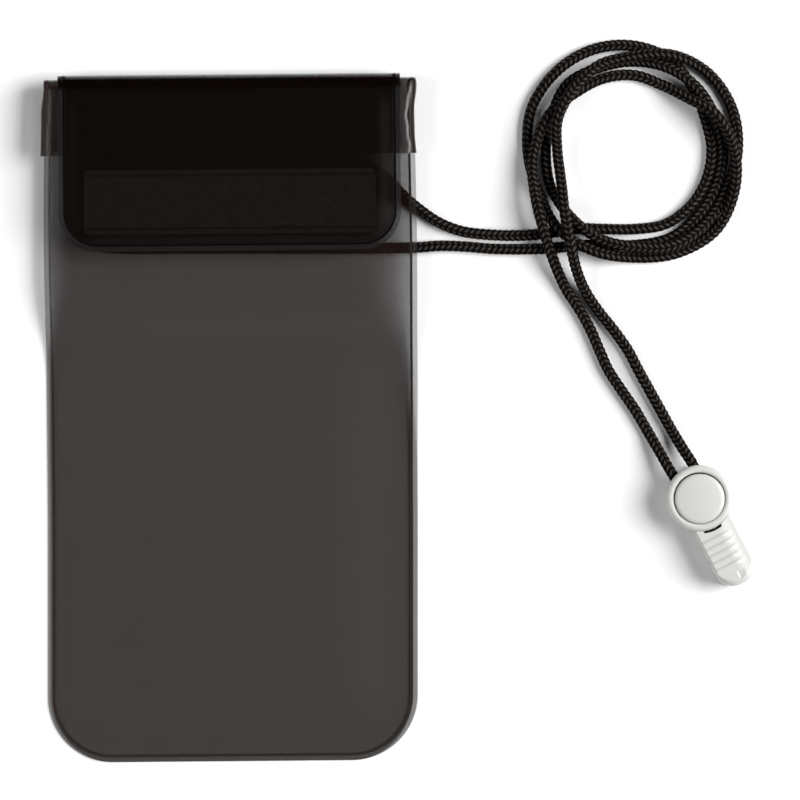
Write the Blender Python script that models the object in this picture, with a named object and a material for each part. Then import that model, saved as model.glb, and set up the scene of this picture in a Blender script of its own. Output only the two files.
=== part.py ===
"""Waterproof phone pouch, lying flat with its neck cord beside it.

The pouch is two plies of PVC film welded round the edge. Its mouth carries two press-seal
zips and is folded over once to the front, and a two-ply flap welded on behind wraps over the
fold and closes with a hook-and-loop patch. A strap behind holds the neck cord, whose ends run
through a push-button cord lock into a ribbed end cap.

Frame: +Z up from the table, +Y from the pouch's bottom edge to its folded top, +X across it,
origin on the table under the middle of the pouch. Lengths here are in millimetres.
"""
import math

import bmesh
import bpy
import numpy as np
from mathutils import Vector

MM = 0.001
FIT = 0.3

# Pouch body
POUCH_WIDTH = 108.0
POUCH_LENGTH = 200.4
FILM = 0.3
CORNER_RADIUS = 19.0
WELD_WIDTH = 1.9
EDGE_CROWN = 0.8
EDGE_CROWN_RUN = 3.5
POCKET_CROWN = 2.4
POCKET_CROWN_RUN = 24.0
REAR_LIFT = 4.2
RAMP_START = 112.0
RAMP_ANGLE = 15.2

# Mouth, folded over to the front
MOUTH_LENGTH = 20.0
MOUTH_FLARE = 0.9
MOUTH_CROWN_RUN = 4.0
ZIP_DISTANCES = {"upper": 5.2, "lower": 16.4}
ZIP_SPACE = 2.6
ZIP_TRACK_WIDTH = 5.0
ZIP_TRACK_BASE = 0.3
ZIP_JAW_WALL = 0.3
ZIP_JAW_LIP = 0.3
ZIP_STEM = 0.3
ZIP_HEAD_WIDTH = 1.3
ZIP_HEAD_HEIGHT = 0.25
FOLD_AIR = 0.4

# Flap and its patch
FLAP_WIDTH = 99.8
FLAP_FRONT_LENGTH = 48.0
FLAP_REAR_LENGTH = 13.0
FLAP_CORNER_RADIUS = 11.4
PATCH_WIDTH = 85.0
PATCH_HEIGHT = 18.7
PATCH_CORNER_RADIUS = 1.5
PATCH_ABOVE_FLAP_EDGE = 5.0
HOOK_THICKNESS = 1.0
LOOP_THICKNESS = 1.2

# Rear strap, a tunnel for the cord
STRAP_LENGTH = 74.0
STRAP_FROM_FOLD = 23.25
STRAP_LIP = 3.0
STRAP_FLOOR = 2.6
STRAP_BEND_RADIUS = 1.2
STRAP_BEND_ANGLE = 60.0

# Neck cord
CORD_DIAMETER = 3.0
CORD_CHORD_ERROR = 0.36
CORD_LONGEST_STEP = 22.0

# Clasp, along its own axis from the cord lock to the end cap
CLASP_PLACE = (136.15, -24.6)
CLASP_TURN = -63.2
LOCK_RADIUS = 9.7
LOCK_HEIGHT = 9.6
LOCK_FLOOR = 1.0
LOCK_EDGE_ROUNDING = 1.4
BORE_RADIUS = 7.5
BORE_EDGE_ROUNDING = 0.8
BUTTON_TRAVEL = 1.2
BUTTON_BAR = 0.9
BUTTON_CAP = 1.3
BUTTON_EDGE_ROUNDING = 0.7
BUTTON_CROWN = 0.4
SPRING_HEIGHT = 2.1
SPRING_WIRE = 0.5
SPRING_BASE_RADIUS = 4.6
SPRING_TOP_RADIUS = 2.7
SPRING_TURNS = 3
CORD_ENTRY_OFFSETS = (-3.75, 2.8)
CORD_EXIT_OFFSET = 1.75
CAP_WIDTH = 12.3
CAP_END = 27.8
CAP_END_RADIUS = 5.6
CAP_HEIGHT = 9.4
CAP_SPLIT = 5.6
CAP_SIDE_ROUNDING = 2.4
CAP_BASE_ROUNDING = 1.0
CAP_CAVITY_END = 21.5
CAP_NOTCH_DEPTH = 0.6
CAP_NOTCH_WIDTH = 5.8
RIB_COUNT = 5
RIB_PITCH = 2.2
RIB_FIRST = 12.7
RIB_WIDTH = 1.5
RIB_HEIGHT = 0.5
RIB_ROOT = 0.4
RIB_SIDES = (-4.7, 3.5)
RIB_TAPER = 1.2
SNAP_WINDOW = 2.1
SNAP_PLACE = (25.2, 1.3)

# Derived places
PLY = FILM + FIT
BOTTOM_Y = -POUCH_LENGTH / 2
MOUTH_STACK = 2 * FILM + ZIP_SPACE
FOLD_RADIUS = (PLY + FILM + FOLD_AIR + MOUTH_STACK) / 2
FLAP_FOLD_RADIUS = FOLD_RADIUS + 2 * PLY
FOLD_Y = POUCH_LENGTH / 2 - FLAP_FOLD_RADIUS
FOLD_Z = REAR_LIFT + FOLD_RADIUS
FLAP_TOP = FOLD_Z + FLAP_FOLD_RADIUS
STRAP_CENTRE_Y = FOLD_Y - STRAP_FROM_FOLD
HOOK_TOP = FLAP_TOP - 2 * PLY
LOOP_TOP = HOOK_TOP - HOOK_THICKNESS - FIT
PATCH_CROWN = LOOP_TOP - LOOP_THICKNESS - FIT - REAR_LIFT - PLY - FILM
PATCH_Y = FOLD_Y - FLAP_FRONT_LENGTH + PATCH_ABOVE_FLAP_EDGE + PATCH_HEIGHT / 2
CORD_RADIUS = CORD_DIAMETER / 2
BUTTON_RADIUS = BORE_RADIUS - FIT
BUTTON_BOTTOM = LOCK_FLOOR + SPRING_HEIGHT + FIT / 2
SLOT_BOTTOM = BUTTON_BOTTOM + BUTTON_BAR
CORD_LOCK_Z = SLOT_BOTTOM + FIT + CORD_RADIUS
SLOT_TOP = CORD_LOCK_Z + CORD_RADIUS + FIT
ENTRY_HALF_WIDTH = max(map(abs, CORD_ENTRY_OFFSETS)) + CORD_RADIUS + FIT
EXIT_HALF_WIDTH = CORD_EXIT_OFFSET + CORD_RADIUS + FIT


class SheetPath:
    """The outer face of a folded sheet in the Y-Z plane: straights and arcs, end to end."""

    def __init__(self, y, z, heading=0.0):
        self.pieces = []
        self.end = (Vector((y, z)), math.radians(heading))
        self.length = 0.0

    def line(self, length):
        start, heading = self.end
        self.pieces.append((self.length, length, start, heading, 0.0))
        self.end = (start + length * Vector((math.cos(heading), math.sin(heading))), heading)
        self.length += length
        return self

    def arc(self, radius, degrees):
        """Turn left by degrees, or right where degrees is negative."""
        start, heading = self.end
        turn = math.radians(degrees)
        length = radius * abs(turn)
        self.pieces.append((self.length, length, start, heading, turn / length))
        self.length += length
        self.end = (self.at(self.length, 0.0), heading + turn)
        return self

    def at(self, s, depth):
        """The point s along the outer face and depth in from it, to its left."""
        piece = self.pieces[0]
        for candidate in self.pieces:
            if s >= candidate[0]:
                piece = candidate
        begin, _, start, heading, bend = piece
        run = s - begin
        now = heading + bend * run
        if bend:
            along = Vector((math.sin(now) - math.sin(heading),
                            math.cos(heading) - math.cos(now))) / bend
        else:
            along = run * Vector((math.cos(heading), math.sin(heading)))
        return start + along + depth * Vector((-math.sin(now), math.cos(now)))

    def arc_rows(self, step_degrees):
        """Stations at the ends of every piece, and along every arc."""
        rows = {0.0}
        for begin, length, _, _, bend in self.pieces:
            steps = max(1, math.ceil(abs(math.degrees(bend * length)) / step_degrees - 1e-6))
            rows |= {begin + length * k / steps for k in range(1, steps + 1)}
        return rows


def smoothstep(t):
    t = min(max(t, 0.0), 1.0)
    return t * t * (3 - 2 * t)


def blend_through(knots, s):
    """A value that eases from knot to knot, given as (station, value) pairs."""
    for (s0, v0), (s1, v1) in zip(knots, knots[1:]):
        if s <= s1:
            return v0 + (v1 - v0) * smoothstep((s - s0) / (s1 - s0))
    return knots[-1][1]


def tidy_rows(rows, closest=0.05):
    """Stations in order, without those that nearly repeat the one before."""
    kept = []
    for s in sorted(rows):
        if not kept or s - kept[-1] > closest:
            kept.append(s)
    return kept


def corner_rows(radius, steps=6):
    return {radius * (1 - math.cos(math.pi / 2 * k / steps)) for k in range(steps + 1)}


def rounded_half_width(half, radius, from_edge):
    """Half the width of a sheet with round corners, at a distance from its end."""
    inset = max(radius - max(from_edge, 0.0), 0.0)
    return half - radius + math.sqrt(radius ** 2 - inset ** 2)


def make_material(name, colour, roughness, metallic=0.0, alpha=1.0):
    material = bpy.data.materials.new(name)
    material.use_nodes = True
    shader = material.node_tree.nodes["Principled BSDF"]
    shader.inputs["Base Color"].default_value = (*colour, 1.0)
    shader.inputs["Roughness"].default_value = roughness
    shader.inputs["Metallic"].default_value = metallic
    shader.inputs["Alpha"].default_value = alpha
    return material


def add_object(name, bm, material, parent=None):
    """Turn a bmesh in millimetres into a named object in metres."""
    bmesh.ops.recalc_face_normals(bm, faces=bm.faces)
    if bm.calc_volume(signed=True) < 0:
        bmesh.ops.reverse_faces(bm, faces=bm.faces)
    bmesh.ops.scale(bm, vec=(MM, MM, MM), verts=bm.verts)
    mesh = bpy.data.meshes.new(name)
    bm.to_mesh(mesh)
    bm.free()
    mesh.materials.append(material)
    mesh.shade_smooth()
    mesh.set_sharp_from_angle(angle=math.radians(35))
    obj = bpy.data.objects.new(name, mesh)
    bpy.context.collection.objects.link(obj)
    obj.parent = parent
    return obj


def cut(target, name, bm, material, operation="DIFFERENCE"):
    """Combine a hidden tool solid with the target by a Boolean."""
    tool = add_object(name, bm, material, target.parent)
    tool.hide_render = True
    tool.display_type = "WIRE"
    boolean = target.modifiers.new(name, "BOOLEAN")
    boolean.operation = operation
    boolean.object = tool


def prism(outline, low, high):
    """A closed solid of an outline in X-Y between two heights."""
    bm = bmesh.new()
    face = bm.faces.new([bm.verts.new((x, y, low)) for x, y in outline])
    side = bmesh.ops.extrude_face_region(bm, geom=[face])
    top = [v for v in side["geom"] if isinstance(v, bmesh.types.BMVert)]
    bmesh.ops.translate(bm, vec=(0, 0, high - low), verts=top)
    return bm


def rounded_box(centre, size, radius, low, high, steps=3):
    """A block with round vertical edges."""
    outline = []
    for quarter, (sx, sy) in enumerate(((1, 1), (-1, 1), (-1, -1), (1, -1))):
        cx = centre[0] + sx * (size[0] / 2 - radius)
        cy = centre[1] + sy * (size[1] / 2 - radius)
        for k in range(steps + 1):
            a = math.pi / 2 * (quarter + k / steps)
            outline.append((cx + radius * math.cos(a), cy + radius * math.sin(a)))
    return prism(outline, low, high)


def revolve(profile, steps):
    """A turned solid about Z from a profile of (radius, height) that starts and ends on it."""
    bm = bmesh.new()
    verts = [bm.verts.new((r, 0, z)) for r, z in profile]
    edges = [bm.edges.new(pair) for pair in zip(verts, verts[1:])]
    bmesh.ops.spin(bm, geom=verts + edges, cent=(0, 0, 0), axis=(0, 0, 1),
                   angle=2 * math.pi, steps=steps, use_merge=True)
    bmesh.ops.remove_doubles(bm, verts=bm.verts, dist=1e-4)
    return bm


def round_corner(centre, radius, start, end, steps):
    """Points of an arc in a plane, angles in degrees."""
    angles = [math.radians(start + (end - start) * k / steps) for k in range(steps + 1)]
    return [(centre[0] + radius * math.cos(a), centre[1] + radius * math.sin(a))
            for a in angles]


def sheet(path, rows, columns, half_width, inner, outer):
    """A ply of film: a flat grid given its outline and its two faces, then folded on its path.

    columns gives the place of each column from the half width of its row; inner and outer give
    the depth of the two faces at a place (x, s).
    """
    bm = bmesh.new()
    bmesh.ops.create_grid(bm, x_segments=columns.count, y_segments=len(rows) - 1, size=1)
    place = {}
    for v in bm.verts:
        i = round((v.co.x + 1) / 2 * columns.count)
        j = round((v.co.y + 1) / 2 * (len(rows) - 1))
        place[v] = (columns.at(i, half_width(rows[j])), rows[j])
    for v, (x, s) in place.items():
        v.co = (x, s, inner(x, s))
    grid = list(place)
    back = bmesh.ops.extrude_face_region(bm, geom=bm.faces[:])
    copies = [v for v in back["geom"] if isinstance(v, bmesh.types.BMVert)]
    for v in copies:
        v.co.z = outer(v.co.x, v.co.y)
    for v in grid + copies:
        x, s, depth = v.co
        y, z = path.at(s, depth)
        v.co = (x, y, z)
    return bm


class Columns:
    """Columns of a sheet: some at set distances from each side, the rest shared out between."""

    def __init__(self, edge_distances, middle):
        self.edges = list(edge_distances)
        self.middle = middle
        self.count = 2 * (len(self.edges) - 1) + middle

    def at(self, i, half):
        if i < len(self.edges):
            return -half + self.edges[i]
        if i > self.count - len(self.edges):
            return half - self.edges[self.count - i]
        inner = half - self.edges[-1]
        return inner * (2 * (i - len(self.edges) + 1) / self.middle - 1)


def body_path():
    """The outer, rear face of the pouch's back ply."""
    ramp_radius = REAR_LIFT / 2 / (1 - math.cos(math.radians(RAMP_ANGLE)))
    ramp_run = 2 * ramp_radius * math.sin(math.radians(RAMP_ANGLE))
    path = SheetPath(BOTTOM_Y, 0.0).line(RAMP_START)
    path.arc(ramp_radius, RAMP_ANGLE).arc(ramp_radius, -RAMP_ANGLE)
    path.line(FOLD_Y - BOTTOM_Y - RAMP_START - ramp_run)
    path.arc(FOLD_RADIUS, 180)
    return path.line(MOUTH_LENGTH)


BODY = body_path()
FOLD_START = BODY.length - MOUTH_LENGTH - math.pi * FOLD_RADIUS
FOLD_END = BODY.length - MOUTH_LENGTH
PATCH_S = FOLD_START - (FOLD_Y - PATCH_Y)
ZIP_START = FOLD_END + 2.5
PATCH_NEAR = PATCH_S - PATCH_HEIGHT / 2 - 1.5
PATCH_FAR = PATCH_S + PATCH_HEIGHT / 2 + 1.0
CROWN_KNOTS = ((0.0, POCKET_CROWN), (PATCH_NEAR - 22, POCKET_CROWN), (PATCH_NEAR, PATCH_CROWN),
               (PATCH_FAR, PATCH_CROWN), (PATCH_FAR + 6, 0.0), (FOLD_END, 0.0),
               (ZIP_START, ZIP_SPACE - FIT), (BODY.length, ZIP_SPACE - FIT))


def body_half_width(s):
    beyond = max(s - FOLD_END, 0.0) / MOUTH_LENGTH
    return rounded_half_width(POUCH_WIDTH / 2, CORNER_RADIUS, s) + MOUTH_FLARE * beyond ** 2


def ply_gap(x, s):
    """The air between the two plies: closed at the welds, open over pocket, patch and zips.

    From a weld it opens quickly by the edge crown, then slowly by the rest.
    """
    from_side = body_half_width(s) - abs(x)
    from_weld = min(from_side, s) - WELD_WIDTH
    crown = blend_through(CROWN_KNOTS, s)
    if s > FOLD_END - FIT:
        return FIT + crown * smoothstep(from_weld / MOUTH_CROWN_RUN)
    edge = min(EDGE_CROWN, crown)
    return (FIT + edge * smoothstep(from_weld / EDGE_CROWN_RUN)
            + (crown - edge) * smoothstep(from_weld / POCKET_CROWN_RUN))


def make_body(back_film, front_film):
    rows = BODY.arc_rows(22.5) | corner_rows(CORNER_RADIUS)
    rows |= {WELD_WIDTH, 34.0, 52.0, 70.0, 90.0, 105.0}
    rows |= {s for s, _ in CROWN_KNOTS}
    rows |= {PATCH_NEAR - 22 * k / 4 for k in range(1, 4)} | {PATCH_FAR + 2, PATCH_FAR + 4}
    rows |= {FOLD_END + 1.2}
    rows = tidy_rows(rows, 0.6)
    plain = Columns((0.0, WELD_WIDTH, 20.0), 2)
    crowned = Columns((0.0, WELD_WIDTH, 3.0, 4.3, 5.6, 10.5, 16.0, 24.0), 2)
    add_object("back_panel", sheet(BODY, rows, plain, body_half_width, lambda x, s: 0.0,
                                   lambda x, s: FILM), back_film)
    add_object("front_panel", sheet(BODY, rows, crowned, body_half_width,
                                    lambda x, s: FILM + ply_gap(x, s),
                                    lambda x, s: 2 * FILM + ply_gap(x, s)), front_film)


def make_zips():
    """Two press-seal zips between the plies of the folded mouth, run along X."""
    half = POUCH_WIDTH / 2 - WELD_WIDTH - MOUTH_CROWN_RUN - FIT
    deep = FILM + ZIP_SPACE - FIT
    shallow = FILM + FIT
    inside = ZIP_HEAD_WIDTH / 2 + FIT
    wall = inside + ZIP_JAW_WALL
    lip = ZIP_STEM / 2 + FIT
    floor = shallow + ZIP_TRACK_BASE
    head_tip = floor + FIT
    head_back = head_tip + ZIP_HEAD_HEIGHT
    jaw_hook = head_back + FIT
    edge = ZIP_TRACK_WIDTH / 2
    groove = [(-edge, shallow), (edge, shallow), (edge, floor), (wall, floor),
              (wall, jaw_hook + ZIP_JAW_LIP), (lip, jaw_hook + ZIP_JAW_LIP), (lip, jaw_hook),
              (inside, jaw_hook), (inside, floor)]
    groove += [(-a, b) for a, b in reversed(groove[3:])] + [(-edge, floor)]
    base = deep - ZIP_TRACK_BASE
    rib = [(edge, deep), (-edge, deep), (-edge, base), (-ZIP_STEM / 2, base),
           (-ZIP_STEM / 2, head_back), (-ZIP_HEAD_WIDTH / 2, head_back),
           (-ZIP_HEAD_WIDTH / 4, head_tip)]
    rib += [(-a, b) for a, b in reversed(rib[2:])]
    for place, distance in ZIP_DISTANCES.items():
        for name, profile in (("groove", groove), ("rib", rib)):
            bm = bmesh.new()
            ring = []
            for along, depth in profile:
                y, z = BODY.at(FOLD_END + distance + along, depth)
                ring.append(bm.verts.new((-half, y, z)))
            face = bm.faces.new(ring)
            run = bmesh.ops.extrude_face_region(bm, geom=[face])
            ends = [v for v in run["geom"] if isinstance(v, bmesh.types.BMVert)]
            bmesh.ops.translate(bm, vec=(2 * half, 0, 0), verts=ends)
            vinyl = make_material(f"{place}_{name}_vinyl", (0.04, 0.038, 0.036), 0.35)
            add_object(f"zip_{place}_{name}", bm, vinyl)


def make_flap(outer_film, lining_film):
    """Two plies that wrap over the folded mouth, welded behind the pouch."""
    path = SheetPath(FOLD_Y - FLAP_REAR_LENGTH, FOLD_Z - FLAP_FOLD_RADIUS)
    path.line(FLAP_REAR_LENGTH).arc(FLAP_FOLD_RADIUS, 180).line(FLAP_FRONT_LENGTH)
    rows = path.arc_rows(22.5) | {path.length - s for s in corner_rows(FLAP_CORNER_RADIUS)}
    rows = tidy_rows(rows)
    columns = Columns((0.0, WELD_WIDTH, 20.0), 2)

    def half_width(s):
        return rounded_half_width(FLAP_WIDTH / 2, FLAP_CORNER_RADIUS, path.length - s)

    for name, depth, film in (("flap_outer", 0.0, outer_film), ("flap_lining", PLY, lining_film)):
        add_object(name, sheet(path, rows, columns, half_width, lambda x, s: depth,
                               lambda x, s: depth + FILM), film)


def make_patch(hook_nylon, loop_nylon):
    """The hook strip under the flap and the loop strip on the front ply."""
    size = (PATCH_WIDTH, PATCH_HEIGHT)
    for name, top, thickness, nylon in (("hook_strip", HOOK_TOP, HOOK_THICKNESS, hook_nylon),
                                        ("loop_strip", LOOP_TOP, LOOP_THICKNESS, loop_nylon)):
        add_object(name, rounded_box((0.0, PATCH_Y), size, PATCH_CORNER_RADIUS,
                                     top - thickness, top), nylon)


def make_strap(film):
    """A band welded behind the pouch along both lips, with a tunnel for the cord between."""
    drop = REAR_LIFT - PLY
    bend = math.radians(STRAP_BEND_ANGLE)
    slope = (drop - 2 * STRAP_BEND_RADIUS * (1 - math.cos(bend))) / math.sin(bend)
    fall = 2 * STRAP_BEND_RADIUS * math.sin(bend) + slope * math.cos(bend)
    start = STRAP_CENTRE_Y - STRAP_FLOOR / 2 - fall - STRAP_LIP
    path = SheetPath(start, drop).line(STRAP_LIP)
    path.arc(STRAP_BEND_RADIUS, -STRAP_BEND_ANGLE).line(slope)
    path.arc(STRAP_BEND_RADIUS, STRAP_BEND_ANGLE).line(STRAP_FLOOR)
    path.arc(STRAP_BEND_RADIUS, STRAP_BEND_ANGLE).line(slope)
    path.arc(STRAP_BEND_RADIUS, -STRAP_BEND_ANGLE).line(STRAP_LIP)
    rows = tidy_rows(path.arc_rows(20))
    columns = Columns((0.0, 20.0), 2)
    add_object("rear_strap", sheet(path, rows, columns, lambda s: STRAP_LENGTH / 2,
                                   lambda x, s: 0.0, lambda x, s: FILM), film)


# The neck cord's route, by hand: (x, y, height of the middle of the cord)
RESTING = 1.55
LOOP_CENTRE = (118.1, 77.2)
SPOKES = 16
FIRST_SPOKE = 270.0
# Each turn of the loop: (distance from the loop's centre, height) at one spoke after another
UPPER_FIRST_TURN = (
    (23.1, 1.55), (23.5, 1.55), (23.2, 1.55), (22.8, 1.55), (22.6, 1.55), (22.6, 1.55),
    (24.7, 1.55), (28.3, 1.55), (30.4, 1.55), (31.7, 1.55), (32.2, 1.55), (32.3, 1.55),
    (31.1, 1.55), (30.5, 1.55), (32.0, 5.0), (31.8, 4.9))
UPPER_SECOND_TURN = (
    (31.4, 1.55), (32.6, 1.55), (33.4, 1.55), (31.5, 4.6), (29.1, 5.1), (25.8, 8.1),
    (21.5, 5.0), (20.6, 1.55), (21.8, 1.55), (22.7, 1.55), (23.8, 3.5), (27.0, 5.1),
    (29.2, 4.8))
LOWER_FIRST_TURN = (
    (27.8, 1.55), (27.7, 1.55), (26.6, 1.55), (26.1, 1.55), (25.9, 1.55), (25.4, 3.5),
    (25.7, 5.1), (25.8, 4.0), (25.8, 1.55), (26.1, 1.55), (27.3, 1.55), (26.0, 1.55),
    (25.8, 1.55), (26.6, 1.55), (27.0, 4.7), (27.9, 5.0))
LOWER_SECOND_TURN = (
    (28.3, 5.0), (30.1, 4.7), (29.9, 2.2), (29.4, 1.55), (30.2, 1.55), (31.0, 1.55),
    (31.1, 1.8), (29.8, 5.0), (27.3, 5.1), (26.7, 5.1), (25.0, 7.0), (24.1, 8.3),
    (22.5, 4.8))
UPPER_ARRIVAL = (
    (54.8, 60.8, RESTING), (60.6, 56.7, RESTING), (67.6, 53.9, RESTING),
    (77.3, 52.7, RESTING), (87.5, 52.6, RESTING), (95.1, 53.5, RESTING),
    (102.1, 54.4, RESTING), (108.8, 54.2, RESTING))
LOWER_ARRIVAL = (
    (54.7, 49.3, RESTING), (61.2, 49.7, RESTING), (68.5, 49.4, RESTING),
    (76.3, 48.7, RESTING), (84.5, 48.5, RESTING), (93.3, 48.7, RESTING),
    (100.3, 49.3, RESTING), (107.3, 49.7, RESTING))
UPPER_DESCENT = (
    (88.3, 71.6, 4.9), (88.8, 65.8, 5.8), (89.9, 59.9, 6.8), (91.4, 54.1, 6.4),
    (93.2, 48.2, 5.0), (95.3, 42.4, 3.2), (98.0, 36.5, 1.8), (101.8, 30.6, RESTING),
    (104.9, 24.8, RESTING), (107.4, 18.9, RESTING), (110.0, 13.0, RESTING),
    (113.7, 7.2, RESTING), (117.7, 1.3, RESTING), (121.1, -4.6, RESTING),
    (124.4, -10.5, 3.3))
LOWER_DESCENT = (
    (96.3, 71.0, 4.6), (96.9, 65.7, 6.2), (97.4, 60.2, 8.0), (98.4, 54.0, 8.6),
    (99.4, 48.7, 8.3), (100.9, 42.3, 5.6), (103.3, 36.4, 2.6), (107.0, 30.6, RESTING),
    (111.6, 24.7, RESTING), (115.7, 18.8, RESTING), (118.7, 13.0, RESTING),
    (121.9, 7.1, RESTING), (125.1, 1.2, RESTING), (128.3, -4.7, RESTING),
    (131.5, -10.2, 3.8))
# Behind the pouch: in through the strap's tunnel, round a bend and back
BEHIND = (
    (50.5, 64.6, RESTING), (46.0, 69.4, 1.7), (41.2, 72.6, 2.1), (36.0, 73.5, 2.1),
    (12.0, 73.5, 2.1), (-12.0, 73.5, 2.1), (-36.0, 73.5, 2.1), (-42.2, 72.3, 1.9),
    (-47.4, 68.0, RESTING), (-49.4, 61.5, RESTING), (-47.2, 55.0, RESTING),
    (-41.5, 51.0, RESTING), (-34.0, 49.9, RESTING), (-12.0, 49.6, RESTING),
    (12.0, 49.4, RESTING), (34.0, 49.2, RESTING))


def loop_turn(turn):
    points = []
    for k, (radius, height) in enumerate(turn):
        a = math.radians(FIRST_SPOKE + 360.0 / SPOKES * k)
        points.append((LOOP_CENTRE[0] + radius * math.cos(a),
                       LOOP_CENTRE[1] + radius * math.sin(a), height))
    return points


def clasp_to_world(along, across, z):
    a = math.radians(CLASP_TURN)
    return (CLASP_PLACE[0] + along * math.cos(a) - across * math.sin(a),
            CLASP_PLACE[1] + along * math.sin(a) + across * math.cos(a), z)


def cord_in_clasp(entry_offset):
    """From the mouth of the lock, across its bore and into the end cap."""
    side = math.copysign(CORD_EXIT_OFFSET, entry_offset)
    inside = CAP_CAVITY_END - CORD_RADIUS
    return [clasp_to_world(-LOCK_RADIUS, entry_offset, CORD_LOCK_Z - FIT / 2),
            clasp_to_world(-LOCK_RADIUS / 2, (2 * entry_offset + side) / 3, CORD_LOCK_Z),
            clasp_to_world(LOCK_RADIUS / 3, side, CORD_LOCK_Z),
            clasp_to_world(LOCK_RADIUS + 2, side, CAP_SPLIT),
            clasp_to_world(inside, side, CAP_SPLIT)]


def cord_route():
    """The whole cord, from one end in the end cap to the other."""
    upper = (list(UPPER_ARRIVAL) + loop_turn(UPPER_FIRST_TURN) + loop_turn(UPPER_SECOND_TURN)
             + list(UPPER_DESCENT) + cord_in_clasp(CORD_ENTRY_OFFSETS[0]))
    lower = (list(LOWER_ARRIVAL) + loop_turn(LOWER_FIRST_TURN) + loop_turn(LOWER_SECOND_TURN)
             + list(LOWER_DESCENT) + cord_in_clasp(CORD_ENTRY_OFFSETS[1]))
    return np.array(upper[::-1] + list(BEHIND) + lower)


def smooth_curve(points, per_span=24):
    """A centripetal Catmull-Rom curve through the points."""
    ends = np.vstack([2 * points[0] - points[1], points, 2 * points[-1] - points[-2]])
    spans = []
    for p0, p1, p2, p3 in zip(ends, ends[1:], ends[2:], ends[3:]):
        t1 = math.sqrt(np.linalg.norm(p1 - p0))
        t2 = t1 + math.sqrt(np.linalg.norm(p2 - p1))
        t3 = t2 + math.sqrt(np.linalg.norm(p3 - p2))
        t = np.linspace(t1, t2, per_span, endpoint=False)[:, None]
        a1 = (t1 - t) / t1 * p0 + t / t1 * p1
        a2 = (t2 - t) / (t2 - t1) * p1 + (t - t1) / (t2 - t1) * p2
        a3 = (t3 - t) / (t3 - t2) * p2 + (t - t2) / (t3 - t2) * p3
        b1 = (t2 - t) / t2 * a1 + t / t2 * a2
        b2 = (t3 - t) / (t3 - t1) * a2 + (t - t1) / (t3 - t1) * a3
        spans.append((t2 - t) / (t2 - t1) * b1 + (t - t1) / (t2 - t1) * b2)
    return np.vstack(spans + [points[-1:]])


def thin_out(curve):
    """Fewer points, closest where the curve bends most, so that chords stay near it."""
    step = np.linalg.norm(np.diff(curve, axis=0), axis=1)
    heading = np.diff(curve, axis=0) / step[:, None]
    turn = np.linalg.norm(np.diff(heading, axis=0), axis=1)
    bend = np.r_[0, turn / ((step[1:] + step[:-1]) / 2)]
    density = np.maximum(np.sqrt(bend / (8 * CORD_CHORD_ERROR)), 1 / CORD_LONGEST_STEP)
    count = np.r_[0, np.cumsum(density * step)]
    wanted = np.linspace(0, count[-1], math.ceil(count[-1]) + 1)
    return np.column_stack([np.interp(wanted, count, curve[:, k]) for k in range(3)])


def make_cord(braid):
    curve = smooth_curve(cord_route())
    curve[:, 2] = np.maximum(curve[:, 2], RESTING)
    points = thin_out(curve)
    curve = bpy.data.curves.new("neck_cord", "CURVE")
    curve.dimensions = "3D"
    curve.bevel_depth = CORD_RADIUS * MM
    curve.bevel_resolution = 2
    curve.use_fill_caps = True
    spline = curve.splines.new("POLY")
    spline.points.add(len(points) - 1)
    for point, co in zip(spline.points, points):
        point.co = (*(co * MM), 1.0)
    curve.materials.append(braid)
    cord = bpy.data.objects.new("neck_cord", curve)
    bpy.context.collection.objects.link(cord)


def clasp_empty():
    clasp = bpy.data.objects.new("clasp", None)
    clasp.location = (CLASP_PLACE[0] * MM, CLASP_PLACE[1] * MM, 0.0)
    clasp.rotation_euler = (0.0, 0.0, math.radians(CLASP_TURN))
    bpy.context.collection.objects.link(clasp)
    return clasp


def channel(start, end, half_width):
    """A tool that opens the cord's way through the lock, along the clasp."""
    size = (end - start, 2 * half_width)
    return rounded_box(((start + end) / 2, 0.0), size, FIT, SLOT_BOTTOM, SLOT_TOP)


def make_lock_body(clasp, plastic):
    """A turned cup with a round bore for the button and a wide way through for the cord."""
    rounding = LOCK_EDGE_ROUNDING
    inner = BORE_EDGE_ROUNDING
    profile = [(0.0, 0.0)]
    profile += round_corner((LOCK_RADIUS - rounding, rounding), rounding, -90, 0, 4)
    profile += round_corner((LOCK_RADIUS - rounding, LOCK_HEIGHT - rounding), rounding, 0, 90, 5)
    profile += round_corner((BORE_RADIUS + inner, LOCK_HEIGHT - inner), inner, 90, 180, 4)
    profile += [(BORE_RADIUS, LOCK_FLOOR), (0.0, LOCK_FLOOR)]
    body = add_object("lock_body", revolve(profile, 40), plastic, clasp)
    beyond = LOCK_RADIUS + 1
    cut(body, "entry_way", channel(-beyond, 0.0, ENTRY_HALF_WIDTH), plastic)
    cut(body, "exit_way", channel(-1.0, beyond, EXIT_HALF_WIDTH), plastic)


def make_lock_button(clasp, plastic):
    """A round button whose slot the cord runs through: a crowned cap, two legs and a bar."""
    cap_bottom = SLOT_TOP + BUTTON_TRAVEL
    cap_top = cap_bottom + BUTTON_CAP
    edge = BUTTON_EDGE_ROUNDING
    flat = BUTTON_RADIUS - edge
    profile = [(0.0, BUTTON_BOTTOM), (BUTTON_RADIUS, BUTTON_BOTTOM)]
    profile += round_corner((flat, cap_top - edge), edge, 0, 75, 4)
    profile += [(flat * share, cap_top + BUTTON_CROWN * (1 - share ** 2))
                for share in (0.85, 0.65, 0.4, 0.2, 0.0)]
    button = add_object("lock_button", revolve(profile, 40), plastic, clasp)
    beyond = BUTTON_RADIUS + 1
    slot = rounded_box((0.0, 0.0), (2 * beyond, 2 * ENTRY_HALF_WIDTH), FIT, SLOT_BOTTOM, cap_bottom)
    cut(button, "cord_slot", slot, plastic)


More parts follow.
